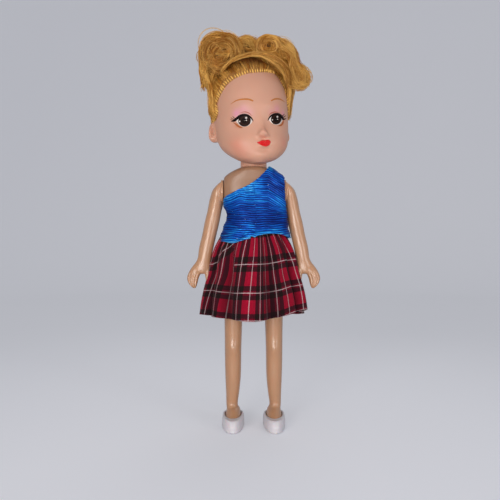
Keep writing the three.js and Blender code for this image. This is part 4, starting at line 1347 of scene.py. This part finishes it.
# The shallow grooves that part the fingers: their places across the hand, as shares of its width
finger_grooves = (0.27, 0.52, 0.76)
HAND_WIDTH = 7
GROOVE_WIDTH = 0.42
GROOVE_DEPTH = 0.5
KNUCKLES = 51.5

# How far a joint's peg reaches into the torso, and the width of the flange at its end
PEG_REACH = 3.4
FLANGE_WIDTH = 1.4


# Rows for outlines, thickened between the ones given
def dense(rows, count):
    rows = np.array(rows, float)
    t = np.linspace(0, len(rows) - 1, count)
    return between(np.column_stack([np.arange(len(rows)), rows]), t)


def limb_skin(table, count, sides, power):
    down, inner, outer, depth, forward = dense(table, count).T
    rows = [-down, (inner + outer) / 2, forward, (outer - inner) / 2, depth, depth, power + 0 * down]
    return skin(outlines(np.column_stack(rows), sides)[::-1])


def sided(name, side):
    return name + ("_left" if side > 0 else "_right")


# Sets the points of a piece that is made for the left side, mirrored where it is the right one
def set_on_side(made, points, side):
    if side < 0:
        points[:, 0] *= -1
        made.data.flip_normals()
    set_points(made, points)


# A joint's snap peg and its flange, on a face that looks towards the doll's middle
def snap_peg(face, peg_radius, flange_radius, root):
    end = face - PEG_REACH
    return [
        bar(peg_radius, end, face + root, 32),
        bar(flange_radius, end, end + FLANGE_WIDTH, 32),
    ]


def arm_piece(side):
    name = sided("arm", side)
    parts = [
        limb_skin(arm_table, 130, 48, 2),
        limb_skin(finger_table, 50, 40, 2.2),
        limb_skin(thumb_table, 40, 32, 2),
        bar(SHOULDER_RADIUS, ARM_INNER, ARM_INNER + 1.6, 64),
        *snap_peg(ARM_INNER, 3, 4.4, 1),
    ]
    made = fused(name + "_limb", parts, voxel=0.34, rounds=3, paint=plastic)
    points = points_of(made)
    down = -points[:, 2]
    heights, inner, outer, _, forward = np.array(finger_table).T
    low = np.interp(down, heights, inner)
    across = (points[:, 0] - low) / (np.interp(down, heights, outer) - low)
    in_hand = np.clip((down - KNUCKLES) / 3, 0, 1) * (across > 0)
    for share in finger_grooves:
        groove = np.exp(-(((across - share) * HAND_WIDTH / GROOVE_WIDTH) ** 2)) * in_hand
        points[:, 1] -= GROOVE_DEPTH * groove * np.sign(points[:, 1] - np.interp(down, heights, forward))
    points[:, 2] += SHOULDER
    set_on_side(made, points, side)
    stand_in(made, name, name)


arm_piece(1)
arm_piece(-1)

# The leg's middle, width and front and back depth as shares, by its share of the hip's height
leg_shares = [
    [0, 0, 0.95, 0.45, 0.46], [0.07, 0, 0.99, 0.5, 0.5], [0.15, 0, 1, 0.48, 0.49],
    [0.27, -0.01, 0.94, 0.42, 0.44], [0.42, 0, 0.87, 0.37, 0.37], [0.52, 0.01, 0.84, 0.36, 0.33],
    [0.61, 0.01, 0.82, 0.33, 0.36], [0.7, 0.01, 0.78, 0.31, 0.36], [0.79, 0.03, 0.68, 0.27, 0.3],
    [0.87, 0.06, 0.58, 0.24, 0.25],
]
# The foot's width, toe and heel as shares, by the share of the ankle's height
foot_shares = [
    [0.75, 0.76, 0.42, 0.74], [0.5, 0.88, 0.66, 0.86], [0.25, 1, 0.95, 0.96], [0.06, 1, 1, 1],
    [0, 0.9, 0.93, 0.94],
]
# The rounded hip: its radius as a share, by the share of the thigh's width
hip_shares = [
    [0, 0.7], [0, 0.84], [0.13, 0.95], [0.38, 1], [0.66, 0.92], [0.87, 0.66], [0.98, 0.3], [1, 0.05],
]
THIGH_WIDTH = 12.8
THIGH_DEPTH = 18.6
LEG_LIFT = 1.7
ANKLE = HIP * 0.13 - LEG_LIFT
KNEE = -53.5
FOOT_WIDTH = 11.2
TOE = 19.6
HEEL = 7.2
LEG_MIDDLE = LEG_INNER + THIGH_WIDTH / 2


# Rings of the left leg and foot below the hip's axis, thickened by a clearance
def leg_rings(grow):
    rows = []
    for down, out, width, front, back in leg_shares:
        rows.append([
            -HIP * down, LEG_INNER + THIGH_WIDTH * (out + 0.5), 0, THIGH_WIDTH / 2 * width + grow,
            THIGH_DEPTH * front + grow, THIGH_DEPTH * back + grow, 2,
        ])
    for up, width, toe, back in foot_shares:
        sole = grow if up == 0 else 0
        rows.append([
            -HIP + LEG_LIFT + ANKLE * up - sole, LEG_MIDDLE, 0, FOOT_WIDTH / 2 * width + grow,
            TOE * toe + grow, HEEL * back + grow, 2.2,
        ])
    return outlines(dense(rows, 120), 56)[::-1]


def leg_piece(side):
    angles = np.arange(48) / 48 * 2 * math.pi
    profile = dense(hip_shares, 24)
    dome = np.zeros((len(profile), len(angles), 3))
    dome[:, :, 0] = LEG_INNER + THIGH_WIDTH * profile[:, :1]
    dome[:, :, 1] = HIP_RADIUS * profile[:, 1:] * np.cos(angles)
    dome[:, :, 2] = HIP_RADIUS * profile[:, 1:] * np.sin(angles)
    plug = bar(3.8, LEG_INNER - 0.2, LEG_INNER + 2, 32)
    parts = [skin(leg_rings(0)), skin(dome), plug, *snap_peg(LEG_INNER, 2.6, 3.8, 2)]
    name = sided("leg", side)
    made = fused(name + "_limb", parts, voxel=0.5, rounds=2, paint=plastic)
    points = points_of(made)
    # The kneecap
    knee = gauss(points, (LEG_MIDDLE, KNEE), (3.4, 4.2))
    points[:, 1] -= 0.7 * knee * (points[:, 1] < 0)
    points[:, 2] += HIP
    set_on_side(made, points, side)
    stand_in(made, name, name)


leg_piece(1)
leg_piece(-1)


def shoe_paint():
    paint = Paint("shoe_plastic", Roughness=0.3, Subsurface_Weight=0.1, Subsurface_Scale=0.001)
    shade = paint.times(paint.noise(120, 2), 0.3)
    paint.set("Base Color", paint.mix(shade, rgb(214, 208, 212), rgb(200, 192, 198)))
    paint.bump(paint.noise(900, 3), 0.1, 0.05)
    return paint.material


shoe_white = shoe_paint()


# The shoe's outline up its height, as shares
shoe_shares = [[0, 0.93], [0.06, 0.985], [0.18, 1], [0.55, 1], [0.85, 0.95], [1, 0.9]]
# The space round the foot in it, the opening over the instep and the groove over the sole
SHOE_EASE = 0.45
throat_reach = (FOOT_WIDTH / 2 + 0.3, 7.5, 7.6)
throat_place = (LEG_MIDDLE, -(TOE - HEEL) / 2 + 3.75, 11.2)
sole_middle = (LEG_MIDDLE, -6)
WELT_UP = 1.9
WELT_HALF = 0.35
WELT_DEPTH = 0.18


def shoe_piece(side):
    rows = [
        [SHOE_HEIGHT * up, LEG_MIDDLE, 0, (FOOT_WIDTH / 2 + SHOE_WALL) * size, (TOE + SHOE_WALL) * size,
         HEEL + SHOE_WALL * size, 2.2]
        for up, size in shoe_shares
    ]
    name = sided("shoe", side)
    made = mesh_object(name + "_slip_on", *skin(outlines(rows, 96)), shoe_white)
    foot = leg_rings(SHOE_EASE)
    foot[:, :, 2] += HIP
    cut(made, [skin(foot), ball(throat_reach, throat_place, 64)])
    modify(made, "REMESH", mode="VOXEL", voxel_size=0.28 * MM, adaptivity=0)
    modify(made, "SMOOTH", factor=0.5, iterations=3)
    settle(made)
    points = points_of(made)
    welt = WELT_DEPTH * np.exp(-(((points[:, 2] - WELT_UP) / WELT_HALF) ** 2))
    points[:, :2] -= welt[:, None] * unit(points[:, :2] - sole_middle)
    set_on_side(made, points, side)
    stand_in(made, sided("leg", side), name)


shoe_piece(1)
shoe_piece(-1)

# How far the top widens towards its hem
flare_shares = [[0, 0], [0.2, 0.12], [0.4, 0.3], [0.6, 0.52], [0.8, 0.76], [1, 1]]
# The top's reach to its right and left side, by height
top_right_side = [
    [112, 22.2], [118.6, 21.8], [123.7, 20.3], [129.4, 18.8], [133, 17.6], [137.4, 17.6], [141.4, 19.5],
    [145.5, 19.8], [151, 19.6], [158, 19], [162, 14.8], [166.2, 10.4],
]
top_left_side = [
    [112, 25.2], [114, 25], [120.6, 24.8], [123.7, 23.2], [133, 21.8], [141, 21.3], [145, 21.2], [151, 21],
    [155, 20.7], [158, 20.1], [160.1, 19], [162.4, 16.6], [164.1, 14], [166.2, 10.6],
]
# The heights of its neckline and hem, by the place across
neck_line = [
    [-24, 140.5], [-19.6, 145.4], [-12.5, 149.8], [-2.1, 154.9], [4.6, 160.1], [9.1, 165.6], [12, 172],
]
hem_line = [
    [-26, 118.4], [-21.5, 118.6], [-12.5, 117.4], [-2, 120.2], [9, 123.2], [16.5, 122.9], [24.8, 120.6],
    [27, 120],
]
ARMHOLE = 8.1
SLIT = 3.5
EDGE_BAND = 0.5
TOP_EASE = 0.7
TOP_CLOTH = 0.4
CRINKLE = 0.16
SOFT_FOLD = 0.2


# The surface that the top lies on, evenly spaced round each height and started at the middle of the front
def top_surface(heights, columns):
    rows = torso_rows(heights)
    body = np.minimum(rows[:, 3], HALF_SHOULDER)
    flare = between(flare_shares, (FLARE_TOP - heights) / (FLARE_TOP - FLARE_BOTTOM))
    reaches = [between(side, heights)[:, 0] for side in (top_right_side, top_left_side)]
    right, left = (np.maximum(reach, body + 0.4) for reach in reaches)
    rows[:, 1] = (left - right) / 2
    rows[:, 3] = (left + right) / 2
    rows[:, 4:6] += np.maximum(0, TOP_HALF_DEPTH - rows[:, 4:6]) * flare + TOP_EASE
    rows[:, 6:] = (rows[:, 6:] + 0.4) * (1 - flare) + 2.3 * flare
    # Its left half is squarer under the arm
    turn = np.linspace(-math.pi / 2, 1.5 * math.pi, 720)
    square = rows.copy()
    square[:, 6] += 2.4 * np.interp(heights, [122, 134, 158, 163], [0, 1, 1, 0])
    fine = np.where(np.cos(turn)[None, :, None] > 0, outlines(square, 720, turn), outlines(rows, 720, turn))
    even = np.zeros((len(heights), columns, 3))
    for k, ring in enumerate(fine):
        length = travelled(ring)
        at = np.linspace(0, length[-1], columns, endpoint=False)
        even[k] = np.stack([np.interp(at, length, ring[:, c]) for c in range(3)], axis=1)
    # The cloth stays clear of the arms wherever they swing
    x, y, z = even[:, :, 0], even[:, :, 1], even[:, :, 2]
    down, inner = np.array(arm_table).T[:2]
    room = np.interp(np.hypot(y, z - SHOULDER), down, inner) - 0.8
    even[:, :, 0] = np.sign(x) * np.minimum(np.abs(x), np.maximum(room, body[:, None] + 0.3))
    return even


# The top as a grid of points from its hem up to its neckline
def top_grid(rows, columns):
    fine = top_surface(np.linspace(112, SEAM + 0.2, 320), columns)
    outer = np.zeros((rows, columns, 3))
    for i in range(columns):
        x, y, z = fine[:, i].T
        neck = between(neck_line, x)[:, 0]
        under_arm = SHOULDER - np.sqrt(np.maximum(ARMHOLE**2 - y**2, 0))
        neck = np.where(x < -17, np.minimum(neck, under_arm), neck)
        hem = between(hem_line, x)[:, 0]
        above = np.nonzero(z > neck)[0]
        last = above[0] if len(above) else len(z) - 1
        first = np.nonzero(z >= hem)[0][0]
        length = travelled(fine[:, i])
        low = np.interp(hem[first], z, length)
        high = np.interp(neck[last], z, length) if len(above) else length[-1]
        at = np.linspace(low, high, rows)
        for k in range(3):
            outer[:, i, k] = np.interp(at, length, fine[:, i, k])
    return outer


# What remains beside the left armhole and the slit at the back, with the nearest points moved to their edges
def top_openings(outer):
    x, y, z = (outer[:, :, k] for k in range(3))
    hole = np.hypot(y, z - SHOULDER) / ARMHOLE
    side = x > 14
    ring = side & (hole < 1) & (hole > 0.92)
    for k, middle in ((1, 0), (2, SHOULDER)):
        to_edge = middle + (outer[:, :, k] - middle) / np.maximum(hole, 0.5)
        outer[:, :, k] = np.where(ring, to_edge, outer[:, :, k])
    back = y > 0
    edge = back & (np.abs(x) < SLIT) & (np.abs(x) > SLIT - EDGE_BAND)
    outer[:, :, 0] = np.where(edge, SLIT * np.sign(x), x)
    return ~(side & (hole <= 0.92)) & ~(back & (np.abs(x) <= SLIT - EDGE_BAND))


def top_piece():
    rows, columns = 190, 236
    outer = top_grid(rows, columns)
    keep = top_openings(outer)
    # Crinkles run level round the body, up along the neckline and down across the left shoulder
    x, y, z = (outer[:, :, k] for k in range(3))
    rise = np.linalg.norm(np.diff(outer, axis=0, prepend=outer[:1]), axis=2).cumsum(axis=0)
    level = np.where(z > 150, rise - (rise - z).mean(axis=0), z)
    level -= 0.38 * np.clip(x + 9, -14, 0) * np.clip((z - 134) / 7, 0, 1)
    level += 0.72 * np.clip(x - 9, 0, 12) * np.clip((z - 135) / 6, 0, 1)
    level += 0.35 * np.sin(x * 0.16 + 0.9) + 0.16 * np.sin(x * 0.55 + z * 0.15) + 0.3 * np.sin(y * 0.3)
    ridge = np.sin(level * 2 * math.pi / RIDGE_GAP)
    fold = np.sin(level * 2 * math.pi / 5.3 + 0.8 * np.sin(x * 0.21))
    fold += 0.6 * np.sin(x * 0.5 + y * 0.3 + z * 0.1)
    loose = np.clip((128 - z) / 9, 0, 1)
    around = np.cumsum(np.linalg.norm(np.diff(outer, axis=1, append=outer[:, :1]), axis=2), axis=1)
    hang = 0.5 * (np.sin(around * 0.42 + 1) + np.clip(1.6 - np.abs(x) / 14, 0, 1)) * loose
    normal = unit(np.cross(np.gradient(outer, axis=1), np.gradient(outer, axis=0)))
    free = np.clip((np.hypot(y, z - SHOULDER) - ARMHOLE) / 3, 0, 1)
    under_arm = (np.abs(y) < 7) & (np.abs(x) > 17) & (z > 132)
    swell = (CRINKLE * ridge + SOFT_FOLD * fold * free + hang + 0.3) * np.where(under_arm, 0.35, 1)
    outer = outer + normal * swell[:, :, None]
    cloth = sheet_mesh(outer, outer - normal * TOP_CLOTH, True, keep.ravel().tolist())
    made = mesh_object("top_cloth", *cloth, lurex)
    mark(made, "level", np.tile(level.ravel(), 2))
    mark(made, "around", np.tile(around.ravel(), 2))
    share = np.linspace(0, 1, rows)[:, None] + 0 * x
    rim = np.exp(-(share / 0.05) ** 2) + np.exp(-((1 - share) / 0.13) ** 2) * (x < 12)
    mark(made, "rim", np.tile(rim.ravel(), 2))
    tidy(made)
    stand_in(made, "torso", "top_body")


top_piece()

# By height: the skirt's share of the way from the waist's reach to the hem's, across and in depth, and its
# folds' share of their full depth
skirt_shares = [
    [0, 0, 0, 0.3], [0.09, 0.14, 0.08, 0.42], [0.2, 0.3, 0.23, 0.55], [0.36, 0.45, 0.42, 0.7],
    [0.52, 0.55, 0.58, 0.82], [0.66, 0.71, 0.74, 0.92], [0.83, 0.88, 0.89, 1], [1, 1, 1, 1],
]
FOLD_DEPTH = 3.2
GATHER = 2.4
HALF_CLOTH = 7 * TARTAN_REPEAT
PLEAT_EDGE = -0.5
SKIRT_CLOTH = 0.5


# Soft folds round the skirt with narrower valleys, uneven in width
def folds(turn):
    uneven = turn + 0.07 * np.sin(3 * turn + 1.2) + 0.045 * np.sin(5 * turn + 0.4)
    main = np.cos(9 * uneven + 2.2 + 0.5 * np.sin(2 * turn + 0.3))
    sharp = 1 - 2 * (0.5 - 0.5 * main) ** 1.7
    return 0.85 * sharp + 0.3 * np.cos(4 * turn + 0.6)


# Reads a piece's points and does nothing more with them
def follow_leg(made):
    points = points_of(made)


def skirt_half(side):
    rows, columns = 120, 240
    down = np.linspace(0, 1, rows)
    shares = between(skirt_shares, down)
    waist = torso_rows([SKIRT_TOP])[0]
    start = -math.pi / 2 if side > 0 else math.pi / 2
    angles = start + np.linspace(0, math.pi, columns)
    deep = FOLD_DEPTH * shares[:, 2]
    at_waist = GATHER + deep * 1.35
    reaches = [
        own + at_waist + (hem - deep - own - at_waist) * share
        for own, hem, share in (
            (waist[3], HEM_HALF_WIDTH, shares[:, 0]), (waist[4], HEM_HALF_DEPTH, shares[:, 1]),
            (waist[5], HEM_HALF_DEPTH, shares[:, 1]),
        )
    ]
    none = np.zeros(rows)
    table = [SKIRT_TOP - SKIRT_LENGTH * down, none, none, *reaches, 2.2 - 0.2 * down]
    outer = outlines(np.column_stack(table), columns, angles)
    # Main folds, with finer gathers that die out below the waist
    turn = angles[None] + 0.03 * np.sin(down * 4)[:, None]
    fine = 0.5 * np.sin(31 * turn + 1.1 * np.sin(3 * turn)) * np.exp(-down * 3)[:, None]
    fine += 0.3 * np.sin(19 * turn + 2 * down[:, None] + 0.8) * (0.4 + 0.6 * down)[:, None]
    from_front = angles + math.pi / 2 if side > 0 else angles - 1.5 * math.pi
    pleat = np.where(from_front < PLEAT_EDGE, np.clip(1 + (from_front - PLEAT_EDGE) / 0.8, 0, 1), 0)
    pleat = pleat * np.clip((0.62 - down) / 0.3, 0, 1)[:, None]
    radius = np.hypot(outer[:, :, 0], outer[:, :, 1])
    stretch = 1 + (deep[:, None] * folds(turn) + fine + 1.3 * pleat**2) / radius
    outer[:, :, 0] *= stretch
    outer[:, :, 1] *= stretch
    outer[:, 0, 0] = 0
    outer[:, -1, 0] = 0
    # The hem hangs lowest in the middle of the front and is drawn up at the left
    out = np.abs(outer[:, :, 0]) / HEM_HALF_WIDTH
    left = np.clip(outer[:, :, 0] / HEM_HALF_WIDTH, 0, 1)
    front = eased(np.clip(0.5 - outer[:, :, 1] / 30, 0, 1))
    lift = (2.5 * out**1.5 + 4.5 * left**1.6) * front * down[:, None]
    outer[:, :, 2] += lift
    normal = unit(np.cross(np.gradient(outer, axis=0), np.gradient(outer, axis=1)))
    if np.mean(np.sum(normal * outer * np.array([1, 1, 0]), axis=2)) < 0:
        normal *= -1
    inner = outer - normal * SKIRT_CLOTH
    inner[:, 0, 0] = 0
    inner[:, -1, 0] = 0
    made = mesh_object(sided("skirt", side), *sheet_mesh(outer[::-1], inner[::-1]), tartan)
    # The cloth's own places for its pattern: across it, in flat cloth, and down it
    across = np.linspace(0, HALF_CLOTH, columns) + (0 if side > 0 else HALF_CLOTH) + 13.7
    across = across + 1.6 * np.sin(5 * angles + 0.7) + 0.5 * np.sin(13 * angles)
    fan = 8 * np.tanh((from_front - 0.3) / 0.35) * (0.5 + 0.5 * np.cos(from_front))
    across = across + fan * ((1 - down) ** 1.5)[:, None] - 7 * pleat * (down - 0.3)[:, None]
    mark(made, "across", np.tile(across[::-1].ravel(), 2))
    level = (SKIRT_LENGTH * down)[:, None] + 12.3
    level = level + (5 * left**1.4 - 1.2 * out) * front * (1.15 - down)[:, None]
    level += 0.5 * np.sin(7 * turn + 0.5) * down[:, None]
    level += 12 * pleat + (7.5 * np.exp(-5 * down) - 0.6)[:, None]
    mark(made, "down", np.tile(level[::-1].ravel(), 2))
    # Painted shade in the folds' valleys, deeper towards the hem
    fold_valley_shade = np.clip(0.5 - 0.5 * folds(turn) - 0.25 * fine, 0, 1) * (0.35 + 0.65 * down)[:, None]
    mark(made, "fold_valley_shade", np.tile(fold_valley_shade[::-1].ravel(), 2))
    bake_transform(made)
    follow_leg(made)
    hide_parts("skirt")


skirt_half(1)
skirt_half(-1)

# CAD nodes that stay, with their finishes
elastic_paint = flat_paint("elastic", rgb(232, 224, 208), 0.8, rgb(214, 204, 186), 900)
strip_paint = flat_paint("closure_strip", rgb(34, 70, 130), 0.9, rgb(24, 52, 104), 1500)
for name, paint, slot in (
    ("hair_tie_right", elastic_paint, "elastic"), ("hair_tie_left", elastic_paint, "elastic"),
    ("skirt_elastic", elastic_paint, "elastic"), ("top_closure_loop", strip_paint, "closure_strip"),
    ("top_closure_hook", strip_paint, "closure_strip"),
):
    node = bpy.data.objects[name]
    node.data.materials.clear()
    node.data.materials.append(paint)

# Floor, backdrop and light
FLOOR_REACH = 1100
BEND = 400
WALL_TOP = 1500


def stage_piece(name, table, paint):
    turn = np.linspace(0, 2 * math.pi, 96, endpoint=False)
    points = [[reach * math.cos(a), reach * math.sin(a), z] for reach, z in table for a in turn]
    made = mesh_object(name, points, grid_faces(len(table), len(turn)), paint)
    return made


stage_paint = Paint("stage", Roughness=0.9)
cloudy = stage_paint.times(stage_paint.noise(8, 2), 0.1)
stage_paint.set("Base Color", stage_paint.mix(cloudy, rgb(226, 226, 232), rgb(214, 214, 222)))
stage_paint.set("Emission Color", rgb(226, 228, 234))
stage_paint.set("Emission Strength", stage_paint.times(stage_paint.add("LightPath"), 0.22))
rise = np.linspace(0, math.pi / 2, 40)
wall_table = [[FLOOR_REACH + BEND * math.sin(a), BEND - BEND * math.cos(a)] for a in rise]
wall_table.append([FLOOR_REACH + BEND, WALL_TOP])
stage_piece("floor", [[0.1, 0], [FLOOR_REACH, 0]], stage_paint.material)
wall = stage_piece("backdrop", wall_table, stage_paint.material)
# Only the camera sees the wall, so that the soft light round the doll reaches it
wall.visible_diffuse = False
wall.visible_glossy = False
wall.visible_shadow = False

# Lights by name: the place, the place they face, their size in metres, power and colour
lights = {
    "key": ((-250, -610, 190), (0, 0, 150), (0.26, 0.36), 0.37, (1, 0.97, 0.93)),
    "low": ((-70, -640, 70), (0, 0, 140), (0.3, 0.12), 0.2, (1, 0.97, 0.94)),
    "fill": ((440, -480, 150), (0, 0, 140), (0.2, 0.28), 0.19, (0.97, 0.98, 1)),
    "rim": ((120, 420, 520), (0, 0, 150), (0.5, 0.4), 0.1, (1, 1, 1)),
}
for name, (place, aim, size, power, colour) in lights.items():
    light = bpy.data.lights.new(name, "AREA")
    light.shape = "RECTANGLE"
    light.size, light.size_y = size
    light.spread = LIGHT_SPREAD
    light.energy = power
    light.color = colour
    lamp = bpy.data.objects.new(name, light)
    bpy.context.scene.collection.objects.link(lamp)
    lamp.location = Vector(place) * MM
    lamp.rotation_euler = (Vector(aim) - Vector(place)).to_track_quat("-Z", "Y").to_euler()

world = bpy.data.worlds.new("plain")
world.use_nodes = True
sky = world.node_tree.nodes["Background"]
sky.inputs["Color"].default_value = (0.93, 0.95, 1, 1)
sky.inputs["Strength"].default_value = 0.4
bpy.context.scene.world = world

camera_data = bpy.data.cameras.new("camera")
camera_data.sensor_width = SENSOR
camera_data.lens = SENSOR * -CAMERA.y / (FRAME * PIXEL)
camera_data.clip_start = 0.01
camera = bpy.data.objects.new("camera", camera_data)
bpy.context.scene.collection.objects.link(camera)
camera.location = CAMERA * MM
camera.rotation_euler = (math.pi / 2, 0, 0)
bpy.context.scene.camera = camera
bpy.context.scene.view_settings.view_transform = "Standard"
